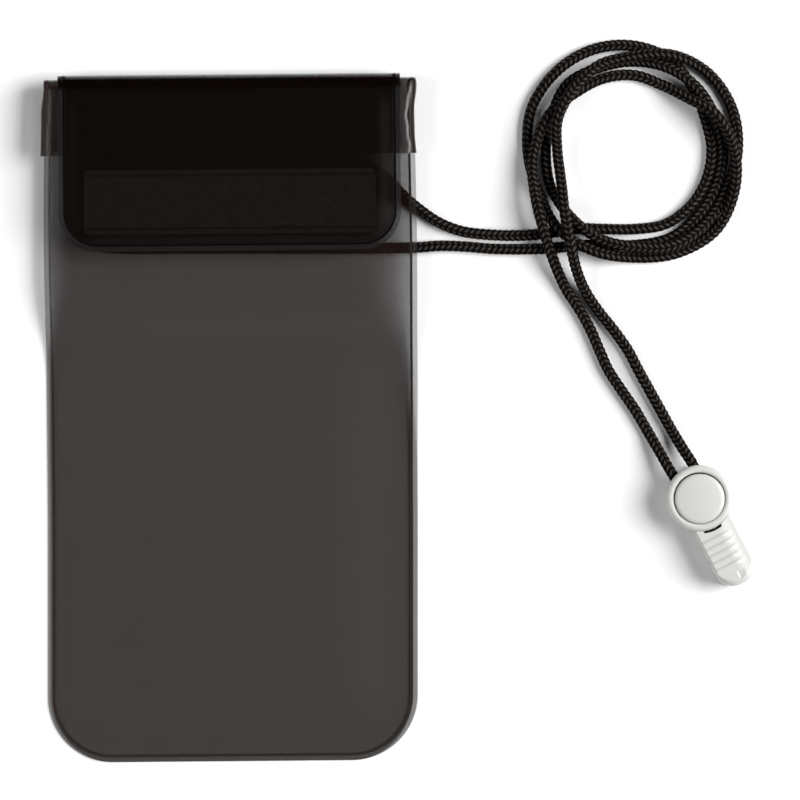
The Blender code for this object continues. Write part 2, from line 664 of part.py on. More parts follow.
def make_lock_spring(clasp, steel):
    """A conical spring under the button: its turns lie inside each other when pressed."""
    steps = 12 * SPRING_TURNS
    low = LOCK_FLOOR + FIT / 6 + SPRING_WIRE / 2
    high = LOCK_FLOOR + SPRING_HEIGHT - SPRING_WIRE / 2
    curve = bpy.data.curves.new("lock_spring", "CURVE")
    curve.dimensions = "3D"
    curve.bevel_depth = SPRING_WIRE / 2 * MM
    curve.bevel_resolution = 1
    curve.use_fill_caps = True
    spline = curve.splines.new("POLY")
    spline.points.add(steps)
    for k, point in enumerate(spline.points):
        share = k / steps
        radius = SPRING_BASE_RADIUS + (SPRING_TOP_RADIUS - SPRING_BASE_RADIUS) * share
        a = 2 * math.pi * SPRING_TURNS * share
        z = low + (high - low) * share
        point.co = (radius * math.cos(a) * MM, radius * math.sin(a) * MM, z * MM, 1.0)
    curve.materials.append(steel)
    spring = bpy.data.objects.new("lock_spring", curve)
    spring.parent = clasp
    bpy.context.collection.objects.link(spring)


def cap_outline():
    """The end cap from above: hollow where it meets the round lock, round at its far end."""
    half = CAP_WIDTH / 2
    hug = LOCK_RADIUS + FIT
    reach = math.degrees(math.asin(half / hug))
    outline = round_corner((0.0, 0.0), hug, reach, -reach, 10)
    far = CAP_END - CAP_END_RADIUS
    inset = half - CAP_END_RADIUS
    outline += round_corner((far, -inset), CAP_END_RADIUS, -90, 0, 7)
    outline += round_corner((far, inset), CAP_END_RADIUS, 0, 90, 7)
    return outline


def rounded_cap_half(low, high, rounding, round_top):
    """One shell of the end cap, with its outer edge rounded except at the hollow end."""
    bm = prism(cap_outline(), low, high)
    level = high if round_top else low
    limit = CAP_WIDTH / 2 / math.tan(math.asin(CAP_WIDTH / 2 / (LOCK_RADIUS + FIT))) + FIT
    edges = []
    for e in bm.edges:
        flat = all(abs(v.co.z - level) < 1e-6 for v in e.verts)
        if flat and max(v.co.x for v in e.verts) > limit + FIT:
            edges.append(e)
    bmesh.ops.bevel(bm, geom=edges, offset=rounding, segments=3, profile=0.5,
                    affect="EDGES", clamp_overlap=True)
    return bm


def ridge(along, base):
    """A half-round grip rib across the cap, tapered down at the end where the side is smooth."""
    bm = bmesh.new()
    start, end = RIB_SIDES
    stations = [(start, 1.0), (end - RIB_TAPER, 1.0)]
    stations += [(end - RIB_TAPER * (1 - t), math.sqrt(1 - t ** 2)) for t in (0.4, 0.7, 0.9)]
    rings = []
    for across, share in stations:
        arch = round_corner((0.0, 0.0), 1.0, 0, 180, 6)
        outline = [(RIB_WIDTH / 2, -RIB_ROOT)]
        outline += [(RIB_WIDTH / 2 * x, RIB_HEIGHT * share * z) for x, z in arch]
        outline += [(-RIB_WIDTH / 2, -RIB_ROOT)]
        rings.append([bm.verts.new((along + share * x, across, base + z)) for x, z in outline])
    for one, two in zip(rings, rings[1:]):
        for k in range(len(one)):
            after = (k + 1) % len(one)
            bm.faces.new((one[k], one[after], two[after], two[k]))
    bm.faces.new(rings[0])
    bm.faces.new(rings[-1])
    return bm


def make_end_cap(clasp, cover_plastic, tray_plastic):
    """Two shells that close over the cord's ends; a tongue on the tray snaps in the cover."""
    cavity_half = EXIT_HALF_WIDTH
    cavity = ((CAP_CAVITY_END / 2, 0.0), (CAP_CAVITY_END, 2 * cavity_half), CORD_RADIUS)
    reach = CORD_RADIUS + FIT

    cover_low = CAP_SPLIT + FIT / 2
    cover = add_object("end_cap_cover", rounded_cap_half(cover_low, CAP_HEIGHT,
                                                         CAP_SIDE_ROUNDING, True),
                       cover_plastic, clasp)
    cut(cover, "cover_cavity", rounded_box(*cavity, cover_low - 1, CAP_SPLIT + reach),
        cover_plastic)
    notch_end = LOCK_RADIUS + FIT + CAP_NOTCH_DEPTH
    notch = rounded_box((notch_end / 2, 0.0), (notch_end, CAP_NOTCH_WIDTH), FIT,
                        cover_low - 1, CAP_HEIGHT + 1)
    cut(cover, "cover_notch", notch, cover_plastic)
    window = rounded_box(SNAP_PLACE, (SNAP_WINDOW, SNAP_WINDOW), FIT, cover_low - 1,
                         CAP_HEIGHT + 1)
    cut(cover, "cover_window", window, cover_plastic)
    for k in range(RIB_COUNT):
        rib = ridge(RIB_FIRST + RIB_PITCH * k, CAP_HEIGHT)
        cut(cover, f"cover_rib_{k + 1}", rib, cover_plastic, "UNION")

    tray_high = CAP_SPLIT - FIT / 2
    tray = add_object("end_cap_tray", rounded_cap_half(0.0, tray_high, CAP_BASE_ROUNDING, False),
                      tray_plastic, clasp)
    cut(tray, "tray_cavity", rounded_box(*cavity, CAP_SPLIT - reach, tray_high + 1),
        tray_plastic)
    tongue_side = SNAP_WINDOW - 2 * FIT
    tongue = rounded_box(SNAP_PLACE, (tongue_side, tongue_side), FIT, tray_high - 1,
                         CAP_HEIGHT - CAP_SIDE_ROUNDING / 2)
    cut(tray, "snap_tongue", tongue, tray_plastic, "UNION")


def build():
    for obj in list(bpy.data.objects):
        bpy.data.objects.remove(obj)
    film = {name: make_material(name, (0.05, 0.048, 0.046), 0.25, alpha=0.6)
            for name in ("back_film", "front_film", "flap_film", "flap_lining_film",
                         "strap_film")}
    hook_nylon = make_material("hook_nylon", (0.012, 0.012, 0.012), 0.8)
    loop_nylon = make_material("loop_nylon", (0.015, 0.015, 0.015), 0.9)
    braid = make_material("cord_braid", (0.03, 0.026, 0.024), 0.75)
    plastic = {name: make_material(name, (0.78, 0.78, 0.75), 0.35)
               for name in ("lock_plastic", "button_plastic", "cover_plastic", "tray_plastic")}
    steel = make_material("spring_steel", (0.6, 0.6, 0.62), 0.3, metallic=1.0)

    make_body(film["back_film"], film["front_film"])
    make_zips()
    make_flap(film["flap_film"], film["flap_lining_film"])
    make_patch(hook_nylon, loop_nylon)
    make_strap(film["strap_film"])
    make_cord(braid)
    clasp = clasp_empty()
    make_lock_body(clasp, plastic["lock_plastic"])
    make_lock_button(clasp, plastic["button_plastic"])
    make_lock_spring(clasp, steel)
    make_end_cap(clasp, plastic["cover_plastic"], plastic["tray_plastic"])


build()
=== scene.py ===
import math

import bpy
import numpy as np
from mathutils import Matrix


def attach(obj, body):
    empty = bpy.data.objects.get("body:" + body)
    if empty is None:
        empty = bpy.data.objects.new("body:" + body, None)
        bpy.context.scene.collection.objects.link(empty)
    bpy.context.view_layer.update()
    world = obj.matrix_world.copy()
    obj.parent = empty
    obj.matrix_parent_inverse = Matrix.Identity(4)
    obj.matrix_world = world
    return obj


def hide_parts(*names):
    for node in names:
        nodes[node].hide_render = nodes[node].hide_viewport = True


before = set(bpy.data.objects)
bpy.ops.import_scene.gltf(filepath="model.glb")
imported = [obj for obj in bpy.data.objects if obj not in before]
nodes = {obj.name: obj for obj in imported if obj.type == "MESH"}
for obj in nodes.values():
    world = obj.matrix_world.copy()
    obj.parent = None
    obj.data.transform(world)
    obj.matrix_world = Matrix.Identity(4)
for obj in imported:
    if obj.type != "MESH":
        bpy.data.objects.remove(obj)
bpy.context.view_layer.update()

# %% [markdown]
# # A waterproof phone pouch and its neck cord
#
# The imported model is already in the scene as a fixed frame. Everything below is dressed onto it,
# in metres and in the same axes: +Z up from the table at z = 0, +Y from the pouch's bottom edge
# to its folded top, +X across. Sizes are written in millimetres times MM.

MM = 0.001

# %% [markdown]
# ## The camera
#
# The pouch is seen straight from above. A camera close to it would show the sides of the clasp
# and spread the cord, and the photograph shows neither, so the lens is long and far away. The
# camera's roll gives the half degree by which the pouch leans in the frame.

# %% Camera
VIEW_CENTRE = (49.1 * MM, 4.8 * MM)
VIEW_WIDTH = 233.6 * MM
CAMERA_HEIGHT = 4.0
CAMERA_ROLL = -0.5
SENSOR_WIDTH = 36.0
camera_data = bpy.data.cameras.new("overhead_camera")
camera_data.sensor_width = SENSOR_WIDTH
camera_data.lens = SENSOR_WIDTH * CAMERA_HEIGHT / VIEW_WIDTH
camera_data.clip_end = 5 * CAMERA_HEIGHT
camera = bpy.data.objects.new("overhead_camera", camera_data)
camera.location = (*VIEW_CENTRE, CAMERA_HEIGHT)
camera.rotation_euler = (0.0, 0.0, math.radians(CAMERA_ROLL))
bpy.context.scene.collection.objects.link(camera)
bpy.context.scene.camera = camera
print("lens in mm", round(camera_data.lens, 1))

# %% [markdown]
# ## Small helpers for meshes
#
# Every new surface here is a grid of points worked out as whole numpy arrays. One helper turns
# points and faces into a mesh object, and another closes two facing grids into a thin shell, as
# film has an outer and an inner face.


# %% Meshes from arrays of points
def signed_volume(points, quads):
    """Six times a closed mesh's volume, positive where its faces point outwards: the sum of the
    triple products of each triangle's corners."""
    a, b, c, d = (points[quads[:, k]] for k in range(4))
    first = np.einsum("ij,ij->i", a, np.cross(b, c))
    second = np.einsum("ij,ij->i", a, np.cross(c, d))
    return (first + second).sum()


def add_mesh(name, points, quads, material, body="pouch", sharp=40.0):
    """A smooth mesh object at the origin from arrays of points and quads, turned outwards."""
    points = np.asarray(points, float).reshape(-1, 3)
    if signed_volume(points, quads) < 0:
        quads = quads[:, ::-1]
    mesh = bpy.data.meshes.new(name)
    mesh.from_pydata(points.tolist(), [], quads.tolist())
    mesh.shade_smooth()
    mesh.set_sharp_from_angle(angle=math.radians(sharp))
    mesh.materials.append(material)
    piece = bpy.data.objects.new(name, mesh)
    bpy.context.scene.collection.objects.link(piece)
    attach(piece, body)
    return piece


def grid_quads(rows, columns):
    """The faces of a grid of points that is numbered row by row."""
    index = np.arange(rows * columns).reshape(rows, columns)
    return np.stack([index[:-1, :-1], index[:-1, 1:], index[1:, 1:], index[1:, :-1]],
                    axis=-1).reshape(-1, 4)


def shell_quads(rows, columns):
    """The faces of two facing grids and of the rim that joins their borders."""
    index = np.arange(rows * columns).reshape(rows, columns)
    border = np.concatenate([index[0, :], index[1:, -1], index[-1, -2::-1], index[-2:0:-1, 0]])
    after = np.roll(border, -1)
    other = rows * columns
    rim = np.stack([after, border, border + other, after + other], axis=-1)
    front = grid_quads(rows, columns)
    return np.concatenate([front, front[:, ::-1] + other, rim])


def tube_quads(rings, sides):
    """The faces of a tube: each ring's points join the next ring's, and its last point meets its
    first. The two ends stay open."""
    index = np.arange(rings * sides).reshape(rings, sides)
    around = np.roll(index, -1, axis=1)
    return np.stack([index[:-1], around[:-1], around[1:], index[1:]], axis=-1).reshape(-1, 4)


# %% [markdown]
# ## Small helpers for materials
#
# A colour is written as the hex value that a paint program shows, and one function turns it into
# the linear value that a shader works with. Another adds a node with its settings and links.
# Each material below is named for what the real surface is made of.


# %% Colours and nodes
def linear(hex_value):
    """An sRGB hex colour such as 1A1816 as linear red, green, blue and alpha."""
    srgb = np.array([int(hex_value[k:k + 2], 16) for k in (0, 2, 4)]) / 255
    value = np.where(srgb <= 0.04045, srgb / 12.92, ((srgb + 0.055) / 1.055) ** 2.4)
    return (*value.tolist(), 1.0)


def add_node(tree, kind, settings=None, values=None, links=None):
    """A node of a kind, with its settings, its input values and what is linked to its inputs."""
    node = tree.nodes.new("ShaderNode" + kind)
    for key, value in (settings or {}).items():
        setattr(node, key, value)
    for key, value in (values or {}).items():
        node.inputs[key].default_value = value
    for key, socket in (links or {}).items():
        tree.links.new(socket, node.inputs[key])
    return node


def add_bump(tree, shader, height, strength, distance):
    """Fine relief on a shader, from a height of 0 to 1 times a distance in metres."""
    bump = add_node(tree, "Bump", {}, {"Strength": strength, "Distance": distance},
                    {"Height": height})
    tree.links.new(bump.outputs["Normal"], shader.inputs["Normal"])


def new_material(name, **values):
    """A material with a lone Principled shader, and that shader and its node tree."""
    material = bpy.data.materials.new(name)
    material.use_nodes = True
    tree = material.node_tree
    shader = tree.nodes["Principled BSDF"]
    for key, value in values.items():
        shader.inputs[key.replace("_", " ")].default_value = value
    return material, tree, shader


# %% [markdown]
# ## The neck cord
#
# The cord is a round braid about 3 mm thick. One length of it runs from the end cap through the
# cord lock, twice round the coil, under the pouch, through the strap's tunnel, round a bend and
# all the way back. Its way was chosen as points on the real one's middle line, and a
# centripetal Catmull-Rom curve joins them: it never overshoots where points are close. A point is
# x, y and height, or in the coil a distance from the loop's middle and a height. One that states
# no height lies on the table.

# %% The cord's way in millimetres
LOOP_CENTRE = np.array([118.1, 77.2])
SPOKE_ANGLE = 22.5
LIES_AT = 1.55
RING_STEP = 0.31
UPPER_FIRST_TURN = [
    23.1, 23.5, 23.2, 22.8, 22.6, 22.6, 24.7, 28.3, 30.4, 31.7, 32.2, 32.3, 31.1, 30.5,
    (32.0, 5.0), (31.8, 4.9)]
UPPER_SECOND_TURN = [
    31.4, 32.6, 33.4, (31.5, 4.6), (29.1, 5.1), (25.8, 8.1), (21.5, 5.0), 20.6, 21.8, 22.7,
    (23.8, 3.5), (27.0, 5.1), (29.2, 4.8)]
LOWER_FIRST_TURN = [
    27.8, 27.7, 26.6, 26.1, 25.9, (25.4, 3.5), (25.7, 5.1), (25.8, 4.0), 25.8, 26.1, 27.3, 26.0,
    25.8, 26.6, (27.0, 4.7), (27.9, 5.0)]
LOWER_SECOND_TURN = [
    (28.3, 5.0), (30.1, 4.7), (29.9, 2.2), 29.4, 30.2, 31.0, (31.1, 1.8), (29.8, 5.0),
    (27.3, 5.1), (26.7, 5.1), (25.0, 7.0), (24.1, 8.3), (22.5, 4.8)]
UPPER_ARRIVAL = [
    (54.8, 60.8), (60.6, 56.7), (67.6, 53.9), (77.3, 52.7), (87.5, 52.6), (95.1, 53.5),
    (102.1, 54.4), (108.8, 54.2)]
LOWER_ARRIVAL = [
    (54.7, 49.3), (61.2, 49.7), (68.5, 49.4), (76.3, 48.7), (84.5, 48.5), (93.3, 48.7),
    (100.3, 49.3), (107.3, 49.7)]
UPPER_DESCENT = [
    (88.3, 71.6, 4.9), (88.8, 65.8, 5.8), (89.9, 59.9, 6.8), (91.4, 54.1, 6.4), (93.2, 48.2, 5.0),
    (95.3, 42.4, 3.2), (98.0, 36.5, 1.8), (101.8, 30.6), (104.9, 24.8), (107.4, 18.9),
    (110.0, 13.0), (113.7, 7.2), (117.7, 1.3), (121.1, -4.6), (124.4, -10.5, 3.3)]
LOWER_DESCENT = [
    (96.3, 71.0, 4.6), (96.9, 65.7, 6.2), (97.4, 60.2, 8.0), (98.4, 54.0, 8.6), (99.4, 48.7, 8.3),
    (100.9, 42.3, 5.6), (103.3, 36.4, 2.6), (107.0, 30.6), (111.6, 24.7), (115.7, 18.8),
    (118.7, 13.0), (121.9, 7.1), (125.1, 1.2), (128.3, -4.7), (131.5, -10.2, 3.8)]
BEHIND = [
    (50.5, 64.6), (46.0, 69.4, 1.7), (41.2, 72.6, 2.1), (36.0, 73.5, 2.1), (12.0, 73.5, 2.1),
    (-12.0, 73.5, 2.1), (-36.0, 73.5, 2.1), (-41.0, 72.4, 1.9), (-45.2, 68.2), (-46.8, 61.5),
    (-45.0, 55.0), (-40.6, 51.0), (-34.0, 49.9), (-12.0, 49.6), (12.0, 49.4), (34.0, 49.2)]
CLASP_PLACE = np.array([136.15, -24.6])
CLASP_TURN = math.radians(-63.2)
IN_CLASP = [(-9.7, 5.8), (-4.85, 5.95), (3.23, 5.95), (11.7, 5.6), (20.0, 5.6)]
UPPER_OFFSETS = [-3.75, -3.08, -1.75, -1.75, -1.75]
LOWER_OFFSETS = [2.8, 2.45, 1.75, 1.75, 1.75]


# %% From the points to a smooth middle line
def loop_turn(turn):
    """Points of a turn: even spokes from the bottom of the loop, anticlockwise, each with its own
    distance from the loop's centre and its own height."""
    radius, height = np.array([p if np.ndim(p) else (p, LIES_AT) for p in turn]).T
    angle = np.radians(270 + SPOKE_ANGLE * np.arange(len(radius)))
    return np.column_stack([LOOP_CENTRE[0] + radius * np.cos(angle),
                            LOOP_CENTRE[1] + radius * np.sin(angle), height])


def route(points):
    """Points of the cord's way, each with its height."""
    return np.array([p if len(p) == 3 else (*p, LIES_AT) for p in points])


def from_clasp(along, across, height):
    """Points given along and across the clasp, turned and moved to where it lies."""
    cosine, sine = math.cos(CLASP_TURN), math.sin(CLASP_TURN)
    along, across = np.asarray(along), np.asarray(across)
    return np.stack([CLASP_PLACE[0] + along * cosine - across * sine,
                     CLASP_PLACE[1] + along * sine + across * cosine,
                     np.broadcast_to(height, np.broadcast(along, across).shape)], axis=-1)


def smooth_line(points, steps=32):
    """A centripetal Catmull-Rom curve: between two points it blends three straight mixes of
    neighbouring points, timed by the square root of the distance between them."""
    ends = np.vstack([2 * points[0] - points[1], points, 2 * points[-1] - points[-2]])
    p0, p1, p2, p3 = (ends[k:len(ends) - 3 + k, None, :] for k in range(4))
    gap = np.sqrt(np.linalg.norm(np.diff(ends, axis=0), axis=1))[:, None, None]
    t1, t2, t3 = gap[:-2], gap[:-2] + gap[1:-1], gap[:-2] + gap[1:-1] + gap[2:]
    t = t1 + (t2 - t1) * np.linspace(0, 1, steps, endpoint=False)[None, :, None]
    a1 = (t1 - t) / t1 * p0 + t / t1 * p1
    a2 = (t2 - t) / (t2 - t1) * p1 + (t - t1) / (t2 - t1) * p2
    a3 = (t3 - t) / (t3 - t2) * p2 + (t - t2) / (t3 - t2) * p3
    b1 = (t2 - t) / t2 * a1 + t / t2 * a2
    b2 = (t3 - t) / (t3 - t1) * a2 + (t - t1) / (t3 - t1) * a3
    curve = (t2 - t) / (t2 - t1) * b1 + (t - t1) / (t2 - t1) * b2
    return np.vstack([curve.reshape(-1, 3), points[-1:]])


def even_line(line, step):
    """The same line with points an even step apart, and the distance of each from its start."""
    travelled = np.r_[0, np.cumsum(np.linalg.norm(np.diff(line, axis=0), axis=1))]
    wanted = np.linspace(0, travelled[-1], int(round(travelled[-1] / step)) + 1)
    return np.column_stack([np.interp(wanted, travelled, line[:, k]) for k in range(3)]), wanted


in_clasp = np.array(IN_CLASP)
upper = np.vstack([route(UPPER_ARRIVAL), loop_turn(UPPER_FIRST_TURN),
                   loop_turn(UPPER_SECOND_TURN), route(UPPER_DESCENT),
                   from_clasp(in_clasp[:, 0], UPPER_OFFSETS, in_clasp[:, 1])])
lower = np.vstack([route(LOWER_ARRIVAL), loop_turn(LOWER_FIRST_TURN),
                   loop_turn(LOWER_SECOND_TURN), route(LOWER_DESCENT),
                   from_clasp(in_clasp[:, 0], LOWER_OFFSETS, in_clasp[:, 1])])
whole_way = np.vstack([upper[::-1], route(BEHIND), lower])
cord_line, cord_travel = even_line(smooth_line(whole_way), RING_STEP)
cord_line[:, 2] = np.maximum(cord_line[:, 2], LIES_AT)

# %% [markdown]
# ### The braid
#
# On a braided cord every strand shows as a short slanted oval in its column, and the next column
# slants the other way, which gives rows of Vs. The tube's radius carries that relief itself, so
# it shows on the outline too. The same value is kept as an attribute, from which the material
# paints shade into the valleys and a highlight onto the crowns. Slant is a share of the pitch,
# and twist is in radians.

# %% The cord's surface
CORD_RADIUS = 1.45
CORD_SIDES = 24
CORD_BOTTOM = 0.03
BRAID_RELIEF = 0.22
BRAID_COLUMNS = 6
BRAID_PITCH = 1.68
BRAID_SLANT = 0.72
BRAID_TWIST = 0.22
TWIST_RUNS = (31.0, 13.7)
CROWN_POWER = 0.75
COLUMN_POWER = 0.55


def braid_ridge(travel, around):
    """How far a point stands on a strand, 0 in the valleys and 1 on the crowns: a cosine along
    the cord, shifted across each column one way and then the other, times a bump across it. The
    cord isn't laid perfectly straight, so the columns wander round it a little."""
    twisted = around + BRAID_TWIST * sum(np.sin(travel / run) for run in TWIST_RUNS)
    column = twisted * BRAID_COLUMNS / (2 * np.pi) + 0.5
    across = column % 1.0
    side = np.where(np.floor(column) % 2 == 0, 1.0, -1.0)
    phase = travel / BRAID_PITCH + side * BRAID_SLANT * (across - 0.5)
    crown = 0.5 + 0.5 * np.cos(2 * np.pi * phase)
    return crown ** CROWN_POWER * np.sin(np.pi * across) ** COLUMN_POWER


def frames_along(line):
    """Two directions square to a line at each of its points: one level, one as upright as can
    be. They never twist, because the cord never stands on end."""
    ahead = np.gradient(line, axis=0)
    ahead /= np.linalg.norm(ahead, axis=1)[:, None]
    level = np.cross(ahead, (0.0, 0.0, 1.0))
    level /= np.linalg.norm(level, axis=1)[:, None]
    return level, np.cross(level, ahead)


level, upright = frames_along(cord_line)
around = 2 * np.pi * np.arange(CORD_SIDES) / CORD_SIDES
ridge = braid_ridge(cord_travel[:, None], around[None, :])
radius = (CORD_RADIUS + BRAID_RELIEF * ridge)[..., None]
cord_points = (cord_line[:, None, :]
               + radius * np.cos(around)[None, :, None] * level[:, None, :]
               + radius * np.sin(around)[None, :, None] * upright[:, None, :])
cord_points[..., 2] = np.maximum(cord_points[..., 2], CORD_BOTTOM)
print("cord thickness in mm", 2 * CORD_RADIUS, "to", round(2 * radius.max(), 2))

# %% [markdown]
# ### What the cord is made of
#
# The braid is polyester yarn, dyed black, which looks dark brown under studio light. It is rough
# and has next to no gloss. Painted shade makes the valleys nearly black and a painted highlight
# makes the crowns lighter, and the dye is a little uneven. Fine lines along the cord stand for
# the filaments, and are drawn 0.25 mm apart, because real ones are far too fine to show.

# %% Polyester braid
FILAMENT = 0.25 * MM
DYE_PATCHES = 900.0
polyester, tree, shader = new_material("black_polyester_braid", Roughness=0.8,
                                       Specular_IOR_Level=0.04)
on_ridge = add_node(tree, "Attribute", {"attribute_name": "ridge"})
yarn_place = add_node(tree, "UVMap", {"uv_map": "yarn"})
mottle = add_node(tree, "TexNoise", {"noise_dimensions": "3D"},
                  {"Scale": DYE_PATCHES, "Detail": 3.0}, {"Vector": yarn_place.outputs["UV"]})
height = add_node(tree, "MapRange", {}, {"To Min": -0.12, "To Max": 0.12},
                  {"Value": mottle.outputs["Fac"]})
# Ridge plus mottle: the ridge gives painted shade in the valleys and a painted highlight on the
# crowns, the mottle is the dye's real unevenness.
lit = add_node(tree, "Math", {"operation": "ADD", "use_clamp": True}, {},
               {0: on_ridge.outputs["Fac"], 1: height.outputs["Result"]})
# The ramp's dark end, 0B0807, is painted shade for the valleys, and its light end, 4F4945, a
# painted highlight for the crowns.
dye_and_painted_shade = add_node(tree, "ValToRGB", {}, {}, {"Fac": lit.outputs["Value"]})
dye_and_painted_shade.color_ramp.elements[0].color = linear("0B0807")
dye_and_painted_shade.color_ramp.elements[0].position = 0.4
dye_and_painted_shade.color_ramp.elements[1].color = linear("4F4945")
dye_and_painted_shade.color_ramp.elements[1].position = 1.0
tree.links.new(dye_and_painted_shade.outputs["Color"], shader.inputs["Base Color"])
filaments = add_node(tree, "TexWave", {"wave_type": "BANDS", "bands_direction": "Y"},
                     {"Scale": 2 * math.pi / (20 * FILAMENT), "Distortion": 2.0, "Detail": 1.0,
                      "Detail Scale": 2.0}, {"Vector": yarn_place.outputs["UV"]})
add_bump(tree, shader, filaments.outputs["Fac"], 0.35, 0.04 * MM)

# %% [markdown]
# ### The cord as a mesh
#
# The tube gets a UV map in metres, distance along the cord by distance round it, so that the
# yarn's pattern follows every bend. Where a ring closes, its last face counts on to a full turn.

# %% Braided cord
quads = tube_quads(len(cord_line), CORD_SIDES)
cord = add_mesh("braided_cord", cord_points * MM, quads, polyester, sharp=80)
# The ridge attribute tells the material where to paint shade in the valleys and a highlight on the
# crowns.
cord.data.attributes.new("ridge", "FLOAT", "POINT").data.foreach_set(
    "value", ridge.astype(np.float32).ravel())
corner = np.zeros(len(cord.data.loops), np.int32)
cord.data.loops.foreach_get("vertex_index", corner)
turn_of = (corner % CORD_SIDES).reshape(-1, 4)
wrapped = turn_of + CORD_SIDES * ((turn_of == 0) & (turn_of.max(1, keepdims=True) > 1))
uv = np.stack([cord_travel[corner // CORD_SIDES] * MM,
               wrapped.ravel() / CORD_SIDES * 2 * np.pi * CORD_RADIUS * MM], axis=-1)
cord.data.uv_layers.new(name="yarn").data.foreach_set("uv", uv.astype(np.float32).ravel())
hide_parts("neck_cord")
print("cord triangles", 2 * len(quads))

# %% [markdown]
# ## The film
#
# The pouch is PVC film, about 0.3 mm thick, tinted like smoked glass and cast smooth. One ply
# lets nearly half of the light through, so two over a white table look dark grey, and the four
# or more at the flap look black. The shader does the same with a plain alpha for each face of a
# ply, as film this thin doesn't bend light, and what it adds itself is nearly black.
#
# Where plies are welded, the die leaves a dark pressed line. Each ply carries its distance from
# its outline in millimetres as an attribute, and the shader darkens a band round the weld. Two
# more say how strong that line is, and where a sharp fold has dulled the film.

# %% Smoked PVC film
FILM_ALPHA = 0.333
FILM_SPECULAR = 0.5
DULL_SPECULAR = 0.04
WELD_ALPHA = 0.9
WELD_ROUGHNESS = 0.8
WELD_SPECULAR = 0.03
WELD_LINE = 0.62
WELD_BLUR = 0.12
WELD_GROOVE = 0.08
FLANGE_ROUGHNESS = 0.5
FLANGE_BLUR = 0.2


def film_material(name, tint, line_tint, weld, gloss):
    """Cast PVC film, smooth and faintly wavy, with a pressed line round its weld and a satin
    flange outside it. The line is 1 near the weld and 0 beyond, times the line attribute, and
    mixes each value of the shader."""
    film, tree, shader = new_material(name, IOR=1.53)
    from_edge = add_node(tree, "Attribute", {"attribute_name": "from_edge"})
    beside = add_node(tree, "Math", {"operation": "SUBTRACT"}, {1: weld},
                      {0: from_edge.outputs["Fac"]})
    away = add_node(tree, "Math", {"operation": "ABSOLUTE"}, {},
                    {0: beside.outputs["Value"]})
    pressed = add_node(tree, "MapRange", {"interpolation_type": "SMOOTHSTEP"},
                       {"From Min": WELD_LINE / 2 - WELD_BLUR,
                        "From Max": WELD_LINE / 2 + WELD_BLUR,
                        "To Min": 1.0, "To Max": 0.0}, {"Value": away.outputs["Value"]})
    line = add_node(tree, "Attribute", {"attribute_name": "line"})
    dull = add_node(tree, "Attribute", {"attribute_name": "dull"})
    pressed = add_node(tree, "Math", {"operation": "MULTIPLY"}, {},
                       {0: pressed.outputs["Result"], 1: line.outputs["Fac"]})
    shine = add_node(tree, "MapRange", {},
                     {"To Min": FILM_SPECULAR, "To Max": DULL_SPECULAR},
                     {"Value": dull.outputs["Fac"]})
    satin = add_node(tree, "MapRange", {},
                     {"From Min": 0.0, "From Max": FLANGE_BLUR, "To Min": FLANGE_ROUGHNESS,
                      "To Max": gloss}, {"Value": beside.outputs["Value"]})
    for socket, plain, on_line in (("Alpha", None, WELD_ALPHA),
                                   ("Roughness", satin, WELD_ROUGHNESS),
                                   ("Specular IOR Level", shine, WELD_SPECULAR)):
        mix = add_node(tree, "MapRange", {},
                       {"To Min": FILM_ALPHA, "To Max": on_line},
                       {"Value": pressed.outputs["Value"]})
        if plain is not None:
            tree.links.new(plain.outputs["Result"], mix.inputs["To Min"])
        tree.links.new(mix.outputs["Result"], shader.inputs[socket])
    colour = add_node(tree, "ValToRGB", {}, {}, {"Fac": pressed.outputs["Value"]})
    colour.color_ramp.elements[0].color = linear(tint)
    colour.color_ramp.elements[1].color = linear(line_tint)
    tree.links.new(colour.outputs["Color"], shader.inputs["Base Color"])
    place = add_node(tree, "TexCoord")
    waves = add_node(tree, "TexNoise", {}, {"Scale": 28.0, "Detail": 1.0},
                     {"Vector": place.outputs["Object"]})
    add_bump(tree, shader, waves.outputs["Fac"], 1.0, 0.12 * MM)
    return film


BODY_WELD = 1.77
FLAP_WELD = 1.72
body_film = film_material("smoked_pvc_body", "1E120C", "302925", BODY_WELD, 0.24)
flap_film = film_material("smoked_pvc_flap", "0E0704", "030202", FLAP_WELD, 0.25)
print("light through one ply", round((1 - FILM_ALPHA) ** 2, 2))

# %% [markdown]
# ### How a folded sheet is made
#
# A folded sheet is a flat grid carried along a path in the Y-Z plane: straights and arcs joined
# end to end. A point of the grid has a place x across, a distance s along the path and a depth
# in from it. Its two faces are one grid at two depths, so it stays as thick round every bend.


# %% Paths, and sheets along them
def along_path(start, pieces, s, depth):
    """The point at a distance s along straights and arcs and a depth to their left, as (y, z).
    A piece is (length, turn in degrees); on an arc the chord from its start is the run times
    sinc of half the turn, in the direction of half the turn."""
    lengths = np.array([p[0] for p in pieces])
    turns = np.radians([p[1] for p in pieces])
    begin = np.r_[0, np.cumsum(lengths)[:-1]]
    heading = np.r_[0, np.cumsum(turns)[:-1]]
    chord = lengths * np.sinc(turns / 2 / np.pi)
    y = start[0] + np.r_[0, np.cumsum(chord * np.cos(heading + turns / 2))[:-1]]
    z = start[1] + np.r_[0, np.cumsum(chord * np.sin(heading + turns / 2))[:-1]]
    k = np.clip(np.searchsorted(begin, s, side="right") - 1, 0, len(pieces) - 1)
    run = s - begin[k]
    half = turns[k] / lengths[k] * run / 2
    reach = run * np.sinc(half / np.pi)
    now = heading[k] + 2 * half
    return (y[k] + reach * np.cos(heading[k] + half) - depth * np.sin(now),
            z[k] + reach * np.sin(heading[k] + half) + depth * np.cos(now))


def arc(radius, degrees):
    """The piece of a path that turns by some degrees: its length is radius times the angle."""
    return (radius * math.radians(abs(degrees)), degrees)


